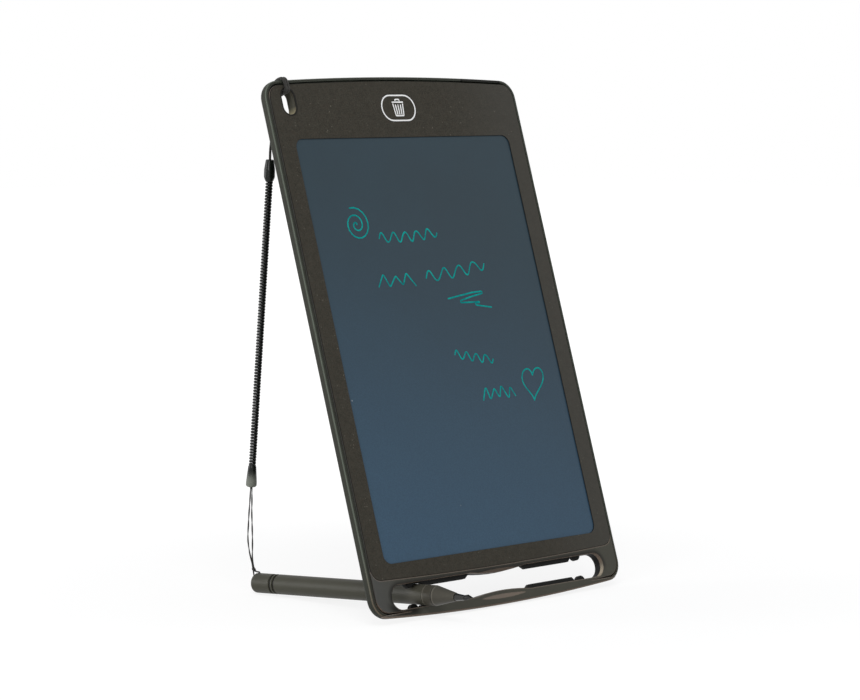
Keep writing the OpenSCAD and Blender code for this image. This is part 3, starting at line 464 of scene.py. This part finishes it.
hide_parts("lanyard_tail_loop")
tail_length = route_length(tail_line)


# Ferrules: two short sleeves of glossy black plastic, crimped over the ends of the curly cord.
# The upper one is barrel-shaped; the lower one tapers to the cord, and its wide end is painted
# grey as a painted highlight.

def assign(material, *names):
    """Gives CAD nodes one material."""
    for name in names:
        nodes[name].data.materials.clear()
        nodes[name].data.materials.append(material)


def ferrule_finish(name, sheen_below):
    """Black plastic with drawn scratches, painted grey below a given height as a painted highlight."""
    material, shader, net = new_finish(name)
    place = net.node("ShaderNodeTexCoord", give="Object")
    flow = net.node("ShaderNodeTexNoise", {"Vector": place, "Scale": 400.0, "Detail": 3.0})
    drawn = net.node("ShaderNodeMapping", {"Vector": place, "Scale": (3000.0, 3000.0, 160.0)})
    scratch = net.node("ShaderNodeTexNoise", {"Vector": drawn, "Scale": 1.0, "Detail": 2.0})
    height = net.node("ShaderNodeSeparateXYZ", {0: place}, give="Z")
    # Painted highlight: grey below the given height.
    painted_sheen = 1 - (height + flow * 0.002).between(sheen_below - 0.002, sheen_below + 0.003)
    rounded = net.node("ShaderNodeBevel", {"Radius": 0.0003}, samples=4)
    black = flow.mixed(srgb(10, 12, 10), srgb(24, 28, 24))
    sheen_grey = flow.mixed(srgb(98, 101, 94), srgb(126, 129, 120))
    dress(net, shader, Base_Color=painted_sheen.mixed(black, sheen_grey),
          Roughness=0.16 + scratch * 0.16 + painted_sheen * 0.2, Coat_Weight=0.05, Specular_IOR_Level=0.2,
          Normal=net.node("ShaderNodeBump", {"Height": scratch, "Strength": 0.08, "Distance": 0.00002,
                                             "Normal": rounded}))
    return material


assign(ferrule_finish("upper_ferrule_gloss", 0.0), "lanyard_top_ferrule")
# The lower ferrule is painted grey below this height as a painted highlight.
sheen_height = (stylus_frame @ Vector((0, 46, 0)))[2]
assign(ferrule_finish("lower_ferrule_gloss", sheen_height), "lanyard_low_ferrule")


# Rear shell and battery drawer: one moulding of dark grey plastic with a rim, and a drawer to match.
# The outside has a fine sparked texture; corners and edges are painted a little paler, as wear
# and as painted highlight. A painted highlight runs along the rim's round, and round the stylus slot
# the shell is painted near black as painted shade. The drawer's lid shows as a darker stretch of the
# top edge between two seams.

def rounded_edges(net, radius):
    """Rounded normals for the edges, and a mask that is 1 on them."""
    rounded = net.node("ShaderNodeBevel", {"Radius": radius}, samples=6)
    plain = net.node("ShaderNodeNewGeometry", give="Normal")
    return rounded, (1 - along_way(net, rounded, plain)).between(0.03, 0.35)


def moulded(name, dark, light, wear_and_glint_edge, edge_radius=0.0003, grain=4200.0, rough=0.46, gloss=0.3, painted_light_and_marks=None):
    """Moulded plastic: grain, flow marks, edges paler as wear and painted highlight, more light and marks.
    """
    material, shader, net = new_finish(name)
    place = net.node("ShaderNodeTexCoord", give="Object")
    sparks = net.node("ShaderNodeTexNoise", {"Vector": place, "Scale": grain, "Detail": 3.0,
                                             "Roughness": 0.6})
    flow = net.node("ShaderNodeTexNoise", {"Vector": place, "Scale": 38.0, "Detail": 3.0})
    rounded, edge = rounded_edges(net, edge_radius)
    shade = (flow * 0.65 + sparks * 0.35).between(0.25, 0.75).mixed(dark, light)
    # Edges painted paler: partly rubbed wear, partly painted highlight.
    shade = (edge * (0.35 + sparks * 0.5)).mixed(shade, wear_and_glint_edge)
    if painted_light_and_marks:
        shade = painted_light_and_marks(net, shade, rounded)
    raised = net.node("ShaderNodeBump", {"Height": sparks, "Strength": 0.25, "Distance": 0.00004,
                                         "Normal": rounded})
    dress(net, shader, Base_Color=shade, Roughness=rough + sparks * 0.14 - edge * 0.1, Normal=raised,
          Specular_IOR_Level=gloss)
    return material


laid_flat = (lean - math.pi / 2, 0.0, 0.0)


def tablet_place(net):
    """Places in the tablet's own frame: across, up and forward of its rear face."""
    flat = net.node("ShaderNodeMapping", {
        "Vector": net.node("ShaderNodeTexCoord", give="Object"), "Rotation": laid_flat,
        "Location": tablet_frame.inverted().translation * mm})
    across = net.node("ShaderNodeSeparateXYZ", {0: flat}, give="X")
    parts = across.socket.node.outputs
    return across, Net(net.tree, parts["Y"]), Net(net.tree, parts["Z"])


def slot_shade_mask(net):
    """1 round the stylus slot, where painted shade goes, and 0 elsewhere, the rear face too."""
    across, up, out = tablet_place(net)
    tall = up.between(3.4 * mm, 4.4 * mm) * (1 - up.between(15.6 * mm, 16.8 * mm))
    wide = 1 - across.sum("ABSOLUTE", across).between(64.5 * mm, 66 * mm)
    return tall * wide * out.between(0.2 * mm, 0.6 * mm)


lanyard_hole = {"middle": (-61.3, 216.9), "reach": (0, 2), "radius": 3.5}
stylus_slot = {"middle": (0, 9.7), "reach": (57.5, 0), "radius": 5.1}


def from_edge(net, middle, reach, radius):
    """Distance outside a hole with round ends; its straight sides reach from its middle."""
    across, up, _ = tablet_place(net)
    wide = across.sum("MAXIMUM", across.sum("ABSOLUTE", across - middle[0] * mm) - reach[0] * mm, 0.0)
    tall = up.sum("MAXIMUM", up.sum("ABSOLUTE", up - middle[1] * mm) - reach[1] * mm, 0.0)
    return wide.sum("SQRT", wide * wide + tall * tall) - radius * mm


def lit_hole(net, shade):
    """Painted light on the wall of the lanyard hole: pale at its lower end, darker above."""
    wall = 1 - from_edge(net, **lanyard_hole).between(0.1 * mm, 0.4 * mm)
    height = tablet_place(net)[1].between(211.6 * mm, 215.5 * mm)
    return (wall * 0.9).mixed(shade, height.mixed(srgb(142, 134, 107), srgb(60, 58, 48)))


drawer_seams = (41.7, 64.5)
out_of_screen = (0, -math.cos(lean), math.sin(lean))
up_the_screen = (0, math.sin(lean), math.cos(lean))


def shell_light_shade_and_seams(net, shade, rounded):
    """Painted highlight on the rim's round, painted shade in the slot, the drawer's seams and lid."""
    across, up, _ = tablet_place(net)
    # Painted highlight along the rim's round.
    facing = along_way(net, rounded, out_of_screen)
    line = facing.between(0.2, 0.5) * (1 - facing.between(0.65, 0.95))
    rim_highlight_colour = up.between(2 * mm, 30 * mm).mixed(srgb(136, 120, 102), srgb(122, 130, 118))
    shade = (line * 0.55).mixed(shade, rim_highlight_colour)
    # Painted shade: the shell round the stylus slot, ribs and walls, is painted near black.
    shade = (slot_shade_mask(net) * 0.94).mixed(shade, srgb(8, 8, 8))
    for seam in drawer_seams:
        gap = across.sum("ABSOLUTE", across - seam * mm)
        gap = (1 - gap.between(0.4 * mm, 0.8 * mm)) * up.between(220 * mm, 222 * mm)
        shade = (gap * 0.95).mixed(shade, srgb(5, 5, 4))
    left, right = ((across - seam * mm).between(-0.5 * mm, 0.5 * mm) for seam in drawer_seams)
    lid = left * (1 - right) * up.between(221 * mm, 222 * mm) * facing.between(0.35, 0.75)
    shade = (lid * 0.85).mixed(shade, srgb(13, 13, 11))
    return lit_hole(net, shade)


# Its edges are painted paler over a wide round, partly as painted highlight along the rim.
shell_plastic = moulded("shell_plastic", srgb(42, 43, 37), srgb(50, 52, 45), srgb(88, 92, 82),
                        edge_radius=0.0008, gloss=0.12, painted_light_and_marks=shell_light_shade_and_seams)
assign(shell_plastic, "rear_shell", "battery_drawer")


# Front panel: a grey moulding that drops inside the rim, with the stylus slot and its finger scoop.
# It is smoother than the shell and holds the film in a shallow pocket. It is painted with light and
# shade: dark round the slot as painted shade and the stylus's painted shadow, paler in the scoop and
# the slot's right end as painted highlight, bluer at the left as a painted reflection, and browner on
# faces turned down as painted bounce light.

def panel_painted_light(net, shade, rounded):
    """Painted light: bluer left, shade by the slot, highlights in scoop and right end, brown below."""
    across, up, _ = tablet_place(net)
    # Painted reflection: bluer towards the left.
    shade = ((1 - across.between(-72 * mm, -50 * mm)) * 0.3).mixed(shade, srgb(88, 90, 94))
    # Painted shade along the slot's lower edge and the stylus's painted shadow at its left end.
    gap = from_edge(net, **stylus_slot)
    left = 1 - across.between(-60 * mm, -46 * mm)
    low = 1 - up.between(5 * mm, 10 * mm)
    slot_edge_shade = (1 - gap.between(0.0, 2.6 * mm)) * left.sum("MAXIMUM", left, 1 - low)
    corner = (1 - gap.between(1 * mm, 5 * mm)) * (1 - across.between(-52 * mm, -46 * mm)) * low
    shade = slot_edge_shade.sum("MAXIMUM", slot_edge_shade * 0.8, corner * 0.9).mixed(shade, srgb(18, 17, 15))
    # Painted highlight in the finger scoop, on faces tilted up the screen.
    tilt = along_way(net, rounded, up_the_screen)
    scoop_highlight = tilt.between(0.03, 0.14) * (1 - tilt.between(0.55, 0.9))
    shade = (scoop_highlight * 0.6).mixed(shade, srgb(136, 122, 110))
    # Painted highlight on the wall of the slot's right end, pale below and darker above.
    slot_end_highlight = (1 - gap.between(0.05 * mm, 0.35 * mm)) * across.between(57 * mm, 60.5 * mm)
    slot_end_light = up.between(4.8 * mm, 12 * mm).mixed(srgb(178, 166, 146), srgb(92, 87, 78))
    shade = (slot_end_highlight * 0.8).mixed(shade, slot_end_light)
    # Painted bounce light: faces turned down are painted browner.
    upward = net.node("ShaderNodeSeparateXYZ", {0: rounded}, give="Z")
    shade = ((0.1 - upward).between(0.0, 0.45) * 0.8).mixed(shade, srgb(124, 108, 95))
    return lit_hole(net, shade)


panel_plastic = moulded("panel_plastic", srgb(65, 64, 57), srgb(75, 74, 66), srgb(104, 100, 92),
                        edge_radius=0.0006, grain=6500.0, rough=0.4, gloss=0.1, painted_light_and_marks=panel_painted_light)
assign(panel_plastic, "front_frame")


# Electronics behind the film: a green circuit board with the driver chip, boost coil, capacitors and
# key switch, all soldered on. The film's amber tail plugs into an ivory socket.

board_lacquer, shader, net = new_finish("board_lacquer")
place = net.node("ShaderNodeTexCoord", give="Object")
flat = net.node("ShaderNodeMapping", {"Vector": place, "Rotation": laid_flat})
tracks = net.node("ShaderNodeTexBrick", {
    "Vector": flat, "Scale": 260.0, "Mortar Size": 0.09, "Mortar Smooth": 0.2, "Brick Width": 2.4,
    "Row Height": 0.42}, give="Fac")
mottle = net.node("ShaderNodeTexNoise", {"Vector": place, "Scale": 700.0, "Detail": 2.0})
lacquer = mottle.mixed(srgb(14, 66, 36), srgb(22, 84, 46))
dress(net, shader, Base_Color=tracks.mixed(lacquer, srgb(54, 132, 74)), Roughness=0.25 + mottle * 0.15,
      Coat_Weight=0.4,
      Normal=net.node("ShaderNodeBump", {"Height": tracks, "Strength": 0.3, "Distance": 0.00004}))
assign(board_lacquer, "circuit_board")

trace_pitch = 1.0 * mm
amber_film, shader, net = new_finish("amber_film")
place = net.node("ShaderNodeTexCoord", give="Object")
across = net.node("ShaderNodeSeparateXYZ", {0: place}, give="X")
stripes = across.sum("SINE", across * (2 * math.pi / trace_pitch)).between(0.1, 0.5)
waves = net.node("ShaderNodeTexNoise", {"Vector": place, "Scale": 300.0, "Detail": 2.0})
amber = waves.mixed(srgb(176, 112, 34), srgb(196, 132, 48))
dress(net, shader, Base_Color=stripes.mixed(amber, srgb(126, 70, 26)), Roughness=0.28 + waves * 0.15,
      Normal=net.node("ShaderNodeBump", {"Height": stripes, "Strength": 0.3, "Distance": 0.00003}))
assign(amber_film, "film_tail")

ivory_nylon = moulded("ivory_nylon", srgb(206, 198, 172), srgb(222, 215, 192), srgb(236, 232, 216),
                      grain=3000.0, edge_radius=0.00012)
assign(ivory_nylon, "tail_socket", "switch_body")
chip_epoxy = moulded("chip_epoxy", srgb(26, 26, 27), srgb(38, 38, 39), srgb(64, 64, 64), grain=9000.0,
                     edge_radius=0.00012, rough=0.55)
assign(chip_epoxy, "driver_chip", "switch_plunger")
coil_ferrite = moulded("coil_ferrite", srgb(60, 60, 62), srgb(82, 82, 85), srgb(112, 112, 114),
                       grain=5200.0, edge_radius=0.00015, rough=0.5)
assign(coil_ferrite, "boost_coil")

capacitor_middle = 20 * mm
chip_ceramic, shader, net = new_finish("chip_ceramic")
place = net.node("ShaderNodeTexCoord", give="Object")
across = net.node("ShaderNodeSeparateXYZ", {0: place}, give="X")
cap_end = across.sum("ABSOLUTE", across - capacitor_middle).between(1.0 * mm, 1.1 * mm)
speckle = net.node("ShaderNodeTexNoise", {"Vector": place, "Scale": 3800.0, "Detail": 3.0})
rounded, _ = rounded_edges(net, 0.00015)
ceramic = speckle.mixed(srgb(132, 100, 66), srgb(164, 128, 88))
tin = speckle.mixed(srgb(176, 176, 174), srgb(204, 204, 202))
dress(net, shader, Base_Color=cap_end.mixed(ceramic, tin), Metallic=cap_end,
      Roughness=0.5 - cap_end * 0.2 + speckle * 0.1, Normal=rounded)
assign(chip_ceramic, "chip_capacitors")


# Coin cell and its two spring contacts: a plated steel can in the drawer, touched by gilt spring strips.
# The strips are soldered to the board's right end.

def plated(name, dark, light, grain_along, rough):
    """Plated metal with fine drawn lines."""
    material, shader, net = new_finish(name)
    place = net.node("ShaderNodeTexCoord", give="Object")
    fine = net.node("ShaderNodeMapping", {"Vector": place, "Scale": grain_along})
    drawn = net.node("ShaderNodeTexNoise", {"Vector": fine, "Scale": 1.0, "Detail": 3.0})
    cloud = net.node("ShaderNodeTexNoise", {"Vector": place, "Scale": 240.0, "Detail": 2.0})
    rounded, _ = rounded_edges(net, 0.0001)
    dress(net, shader, Base_Color=(drawn * 0.5 + cloud * 0.5).mixed(dark, light),
          Roughness=rough + drawn * 0.18, Metallic=1.0,
          Normal=net.node("ShaderNodeBump", {"Height": drawn, "Strength": 0.12, "Distance": 0.00002,
                                             "Normal": rounded}))
    return material


cell_steel = plated("cell_steel", srgb(168, 168, 166), srgb(206, 206, 204), (900.0, 900.0, 5000.0), 0.22)
assign(cell_steel, "coin_cell")
gilt_strip = plated("gilt_strip", srgb(186, 148, 70), srgb(220, 184, 104), (300.0, 4000.0, 4000.0), 0.2)
assign(gilt_strip, "contact_top", "contact_side")


# Writing film, its black backing and the adhesive round it: a sandwich with a liquid-crystal layer.
# Pressed lines turn bright; it is painted a dim blue grey, bluer and lighter towards the lower left.

screen_film, shader, net = new_finish("screen_film")
place = net.node("ShaderNodeTexCoord", give="Object")
flat = net.node("ShaderNodeMapping", {"Vector": place, "Rotation": laid_flat})
across = net.node("ShaderNodeSeparateXYZ", {0: flat}, give="X")
upward = Net(net.tree, across.socket.node.outputs["Y"])
lower = (0.13 - upward - across * 0.25).between(-0.04, 0.16)
haze = net.node("ShaderNodeTexNoise", {"Vector": flat, "Scale": 24.0, "Detail": 4.0, "Roughness": 0.55})
cells = net.node("ShaderNodeTexNoise", {"Vector": flat, "Scale": 1900.0, "Detail": 2.0})
few = net.node("ShaderNodeTexNoise", {"Vector": flat, "Scale": 70.0, "Detail": 1.0})
dust = net.node("ShaderNodeTexVoronoi", {"Vector": flat, "Scale": 105.0, "Randomness": 1.0},
                give="Distance")
dust = (1 - dust.between(0.028, 0.045)) * few.between(0.6, 0.68)
tone = lower.mixed(srgb(46, 62, 71), srgb(60, 87, 110))
tone = (haze.between(0.3, 0.7) * 0.5).mixed(tone, lower.mixed(srgb(50, 68, 78), srgb(64, 90, 112)))
tone = (cells.between(0.35, 0.65) * 0.25).mixed(tone, srgb(44, 60, 70))
raised = net.node("ShaderNodeBump", {"Height": haze * 0.7 + cells * 0.02, "Strength": 0.05,
                                     "Distance": 0.0002})
dress(net, shader, Base_Color=(dust * 0.45).mixed(tone, srgb(176, 182, 186)),
      Roughness=0.3 + haze * 0.12, Normal=raised, Specular_IOR_Level=0.12)
assign(screen_film, "writing_film")

black_backing = moulded("black_backing", srgb(16, 16, 17), srgb(25, 25, 26), srgb(40, 40, 40), grain=2500.0,
                        edge_radius=0.0001, rough=0.6)
assign(black_backing, "film_backing")

clear_adhesive, shader, net = new_finish("clear_adhesive")
place = net.node("ShaderNodeTexCoord", give="Object")
tack = net.node("ShaderNodeTexNoise", {"Vector": place, "Scale": 900.0, "Detail": 4.0})
dress(net, shader, Base_Color=tack.mixed(srgb(66, 62, 48), srgb(92, 86, 66)), Roughness=0.35 + tack * 0.3,
      Normal=net.node("ShaderNodeBump", {"Height": tack, "Strength": 0.3, "Distance": 0.00005}))
assign(clear_adhesive, "overlay_tape")


# Front sheet and erase key: thin black plastic printed a warm grey with pearl grain, cut as one sheet.
# The sheet is glued down round the window; the key is the same sheet on a hidden flange.

def pearl_sheet(name):
    """Printed sheet: mottled warm grey, fine grain, pearl specks, black cut edges, painted light and shade.
    """
    material, shader, net = new_finish(name)
    place = net.node("ShaderNodeTexCoord", give="Object")
    grain = net.node("ShaderNodeTexNoise", {"Vector": place, "Scale": 2000.0, "Detail": 4.0,
                                            "Roughness": 0.7})
    blotch = net.node("ShaderNodeTexNoise", {"Vector": place, "Scale": 420.0, "Detail": 3.0})
    warmth = net.node("ShaderNodeTexNoise", {"Vector": place, "Scale": 900.0, "Detail": 2.0})
    few = net.node("ShaderNodeTexNoise", {"Vector": place, "Scale": 330.0, "Detail": 1.0})
    specks = net.node("ShaderNodeTexVoronoi", {"Vector": place, "Scale": 620.0, "Randomness": 1.0},
                      give="Distance")
    specks = (1 - specks.between(0.1, 0.2)) * few.between(0.56, 0.66)
    rounded, edge = rounded_edges(net, 0.00035)
    flat = net.node("ShaderNodeNewGeometry", give="Normal")
    front = along_way(net, flat, out_of_screen).between(0.4, 0.7)
    shade = (grain * 0.8 + blotch * 0.2).between(0.3, 0.7).mixed(srgb(36, 34, 27), srgb(64, 61, 53))
    shade = (warmth.between(0.45, 0.65) * 0.25).mixed(shade, srgb(60, 51, 42))
    shade = (specks * 0.45).mixed(shade, srgb(128, 124, 110))
    across = tablet_place(net)[0]
    # Painted light: paler towards the right.
    shade = (across.between(20 * mm, 72 * mm) * 0.45).mixed(shade, srgb(74, 73, 69))
    # Painted shade: a dark band along the sheet's edges and round the lanyard hole.
    ring = 1 - from_edge(net, **lanyard_hole).between(0.5 * mm, 0.9 * mm)
    shade = edge.sum("MAXIMUM", edge * 0.8, ring * 0.85).mixed(shade, srgb(14, 13, 11))
    shade = front.mixed(srgb(12, 11, 10), shade)
    raised = net.node("ShaderNodeBump", {"Height": grain + specks * 0.5, "Strength": 0.3,
                                         "Distance": 0.00005, "Normal": rounded})
    dress(net, shader, Base_Color=shade, Roughness=0.56 + grain * 0.14 - specks * 0.25, Normal=raised,
          Specular_IOR_Level=0.15)
    return material


sheet_print = pearl_sheet("sheet_print")
assign(sheet_print, "front_overlay", "erase_button")


# Printed ring and bin on the erase key: white ink, about three hundredths of a millimetre thick.
# They lie on the key and move with it.

def ink_finish(name, dark, light, rough, thin, gloss=0.2):
    """Ink or a bright written line: slightly uneven cover."""
    material, shader, net = new_finish(name)
    place = net.node("ShaderNodeTexCoord", give="Object")
    cover = net.node("ShaderNodeTexNoise", {"Vector": place, "Scale": 1300.0, "Detail": 3.0})
    drift = net.node("ShaderNodeTexNoise", {"Vector": place, "Scale": thin, "Detail": 2.0})
    dress(net, shader, Base_Color=(cover * 0.4 + drift * 0.6).between(0.3, 0.7).mixed(dark, light),
          Roughness=rough + cover * 0.15, Specular_IOR_Level=gloss,
          Normal=net.node("ShaderNodeBump", {"Height": cover, "Strength": 0.1, "Distance": 0.00002}))
    return material


def stroke_tree_for(material, name):
    """A tree that draws flat strokes with round ends along the lines of a mesh."""
    tree, given, result = new_tree(name, (("line width", "Float"), ("corner", "Float"), ("press", "Float"),
                                          ("thickness", "Float")))
    line = given["Geometry"].node("GeometryNodeMeshToCurve", {0: given["Geometry"]})
    soft = line.node("GeometryNodeFilletCurve", {"Curve": line, "Radius": given["corner"],
                                                 "Limit Radius": True, "Count": 5}, mode="POLY")
    spot = line.node("GeometryNodeInputPosition")
    uneven = line.node("ShaderNodeTexNoise", {"Vector": spot, "Scale": 0.35, "Detail": 1.0})
    width = given["line width"] * (1 - given["press"] * 0.5 + given["press"] * uneven)
    ring = line.node("GeometryNodeCurvePrimitiveCircle", {"Resolution": 8, "Radius": 1.0})
    stroke = line.node("GeometryNodeCurveToMesh", {"Curve": soft, "Profile Curve": ring,
                                                   "Scale": width * 0.5, "Fill Caps": True})
    flat = line.node("ShaderNodeCombineXYZ", {"X": 1.0, "Y": 1.0, "Z": given["thickness"]})
    pressed = line.node("GeometryNodeTransform", {"Geometry": stroke, "Scale": flat})
    close_tree(tree, result, pressed, material)
    return tree


key_v = 213.8
front_z = 5.0
white_ink = ink_finish("white_ink", srgb(244, 244, 244), srgb(255, 255, 255), 0.45, 500.0)
print_tree = stroke_tree_for(white_ink, "printed_line")


def stadium_line(width, height, steps=16):
    """Points round a stadium that lies along X."""
    r = height / 2
    x = width / 2 - r
    turns = [math.pi * k / steps for k in range(steps + 1)]
    right = [(x + r * math.sin(turn), -r * math.cos(turn), 0) for turn in turns]
    return right + [(-px, -py, 0) for px, py, _ in right]


ring_size = (19.25, 11.05)
ink_lift = 0.012
on_key = tablet_frame @ Matrix.Translation((0, key_v, front_z + ink_lift))
ring_line = line_mesh("ring_line", [stadium_line(*ring_size)], closed=True)
key_ring = outward(grown("erase_key_ring", print_tree, ring_line, {
    "line width": 0.68, "corner": 0.0, "press": 0.0, "thickness": 0.05}, on_key))
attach(key_ring, "erase_key")

bin_body = [[(-2.85, 1.95, 0), (-2.25, -3.4, 0), (2.25, -3.4, 0), (2.85, 1.95, 0)]]
bin_lid = [[(-3.3, 2.55, 0), (3.3, 2.55, 0)],
           [(-1.15, 3.0, 0), (-1.15, 3.75, 0), (1.15, 3.75, 0), (1.15, 3.0, 0)]]
bin_slats = [[(x * 1.12, 1.5, 0), (x * 0.9, -2.9, 0)] for x in (-1.3, 0, 1.3)]
bin_line = line_mesh("bin_line", bin_body + bin_lid + bin_slats)
key_bin = outward(grown("erase_key_bin", print_tree, bin_line, {
    "line width": 0.62, "corner": 0.35, "press": 0.0, "thickness": 0.05}, on_key))
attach(key_bin, "erase_key")


# Written strokes on the film: bright teal lines where a nib has pressed the liquid crystal.
# They are plain doodles, a spiral, waves, zigzags and a heart, and lie in the film's surface.

film_z = 4.55
teal_line = ink_finish("teal_line", srgb(0, 122, 124), srgb(6, 170, 163), 0.4, 240.0, gloss=0.04)
doodle_tree = stroke_tree_for(teal_line, "written_line")


def wave(u, v, length, height, count, rise=0.0):
    """A hand-drawn wave that starts at a spot and runs to the right."""
    steps = count * 14
    return [(u + length * k / steps, v + rise * k / steps
             + height * math.sin(2 * math.pi * count * k / steps) * (0.8 + 0.2 * math.sin(k * 0.37)), 0)
            for k in range(steps + 1)]


def zigzag(u, v, length, height, count):
    """A hand-drawn zigzag."""
    return [(u + length * k / (2 * count) + 0.5 * math.sin(k * 2.3), v + (height if k % 2 else 0)
             + 0.6 * math.sin(k * 1.7), 0) for k in range(2 * count + 1)]


def heart(u, v, width, height):
    """A heart drawn in one go, open at its point."""
    steps = 40
    line = []
    for k in range(1, steps):
        t = 2 * math.pi * k / steps
        x = 16 * math.sin(t) ** 3 / 32
        y = (13 * math.cos(t) - 5 * math.cos(2 * t) - 2 * math.cos(3 * t) - math.cos(4 * t)) / 30
        line.append((u + width * (x * 0.97 + y * 0.2), v + height * y, 0))
    return line


def swirl(u, v, radius, turns):
    """A small spiral."""
    steps = int(turns * 18)
    line = []
    for k in range(steps + 1):
        angle = 2 * math.pi * turns * k / steps
        line.append((u + radius * k / steps * math.cos(angle), v + radius * k / steps * math.sin(angle), 0))
    return line


doodles = [
    swirl(-38, 164, 7.5, 2.3), wave(-27, 157.5, 34, 2.6, 5, 1.5),
    zigzag(-33, 137, 21, 5, 3), wave(-5, 139.5, 36, 3.0, 4, 5.0),
    [(5, 130.2, 0), (20, 132.2, 0), (35, 132.8, 0), (20, 130.6, 0), (8, 128.2, 0), (20, 128.0, 0),
     (31.5, 128.2, 0), (23, 127.6, 0), (15, 127.6, 0), (30, 125.2, 0)],
    wave(2, 106, 22, 2.2, 4, -3.0), zigzag(13, 85.5, 20, 5.5, 4), heart(45, 91.5, 13.5, 14.5)]
stroke_lift = 0.008
on_film = tablet_frame @ Matrix.Translation((0, 0, film_z + stroke_lift))
written_strokes = outward(grown("written_strokes", doodle_tree, line_mesh("doodle_lines", doodles), {
    "line width": 0.68, "corner": 0.5, "press": 0.5, "thickness": 0.05}, on_film))
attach(written_strokes, "tablet")


# Stylus: a plain round barrel with a flat-ended tail cap, a collar, a tapered nose and a nib holder.
# The pieces are moulded in the tablet's grey and pushed together; the nib is a hard black point.

def along_stylus(net):
    """Distance from the stylus's tail along its axis."""
    back = stylus_frame.inverted()
    place = net.node("ShaderNodeTexCoord", give="Object")
    return along_way(net, place, back[2][:3]) * mm + back[2][3] * mm


tail_grooves = (11.2, 13.15)
collar_joints = (95.9, 100.9)


def barrel_painted_light(net, shade, rounded):
    """Painted shade in the grooves near the tail, and painted light paler towards the nose."""
    along = along_stylus(net)
    # Painted shade: the grooves near the tail are painted near black.
    groove_shade = 0.0
    for middle in tail_grooves:
        gap = along.sum("ABSOLUTE", along - middle * mm)
        groove_shade = (1 - gap.between(0.35 * mm, 0.6 * mm)) + groove_shade
    # Painted light: the barrel is paler towards the nose.
    shade = (along.between(84 * mm, 91 * mm) * 0.3).mixed(shade, srgb(86, 83, 75))
    return (groove_shade * 0.9).mixed(shade, srgb(8, 8, 7))


def grip_joints_and_highlights(net, shade, rounded):
    """Thin painted highlight rings where the collar meets the barrel and the nose, each beside a dark
    joint.
    """
    along = along_stylus(net)
    for joint in collar_joints:
        pale = along.sum("ABSOLUTE", along - (joint + 0.45) * mm)
        dark = along.sum("ABSOLUTE", along - joint * mm)
        # Painted highlight: a thin pale ring beside each joint.
        shade = ((1 - pale.between(0.15 * mm, 0.4 * mm)) * 0.25).mixed(shade, srgb(150, 144, 132))
        shade = ((1 - dark.between(0.1 * mm, 0.3 * mm)) * 0.9).mixed(shade, srgb(16, 15, 13))
    return shade


barrel_plastic = moulded("barrel_plastic", srgb(48, 47, 37), srgb(58, 57, 46), srgb(104, 102, 92),
                         grain=5200.0, edge_radius=0.00025, rough=0.42, painted_light_and_marks=barrel_painted_light)
assign(barrel_plastic, "stylus_barrel", "stylus_tail_cap")
# Its paler edges are partly painted highlight on the collar's chamfers.
grip_plastic = moulded("grip_plastic", srgb(62, 59, 51), srgb(74, 71, 62), srgb(120, 115, 105),
                       grain=5200.0, edge_radius=0.0004, rough=0.36, painted_light_and_marks=grip_joints_and_highlights)
assign(grip_plastic, "stylus_collar", "stylus_nose")

holder_polish, shader, net = new_finish("holder_polish")
place = net.node("ShaderNodeTexCoord", give="Object")
haze = net.node("ShaderNodeTexNoise", {"Vector": place, "Scale": 900.0, "Detail": 3.0})
rounded, edge = rounded_edges(net, 0.0002)
dress(net, shader, Base_Color=(haze * 0.6 + edge * 0.4).mixed(srgb(26, 26, 24), srgb(58, 57, 53)),
      Roughness=0.07 + haze * 0.08, Normal=rounded, Coat_Weight=0.3, Coat_Roughness=0.04,
      Specular_IOR_Level=0.3)
assign(holder_polish, "nib_holder")
nib_acetal = moulded("nib_acetal", srgb(24, 24, 23), srgb(36, 36, 34), srgb(70, 70, 66), grain=7000.0,
                     edge_radius=0.00015, rough=0.35)
assign(nib_acetal, "stylus_nib")
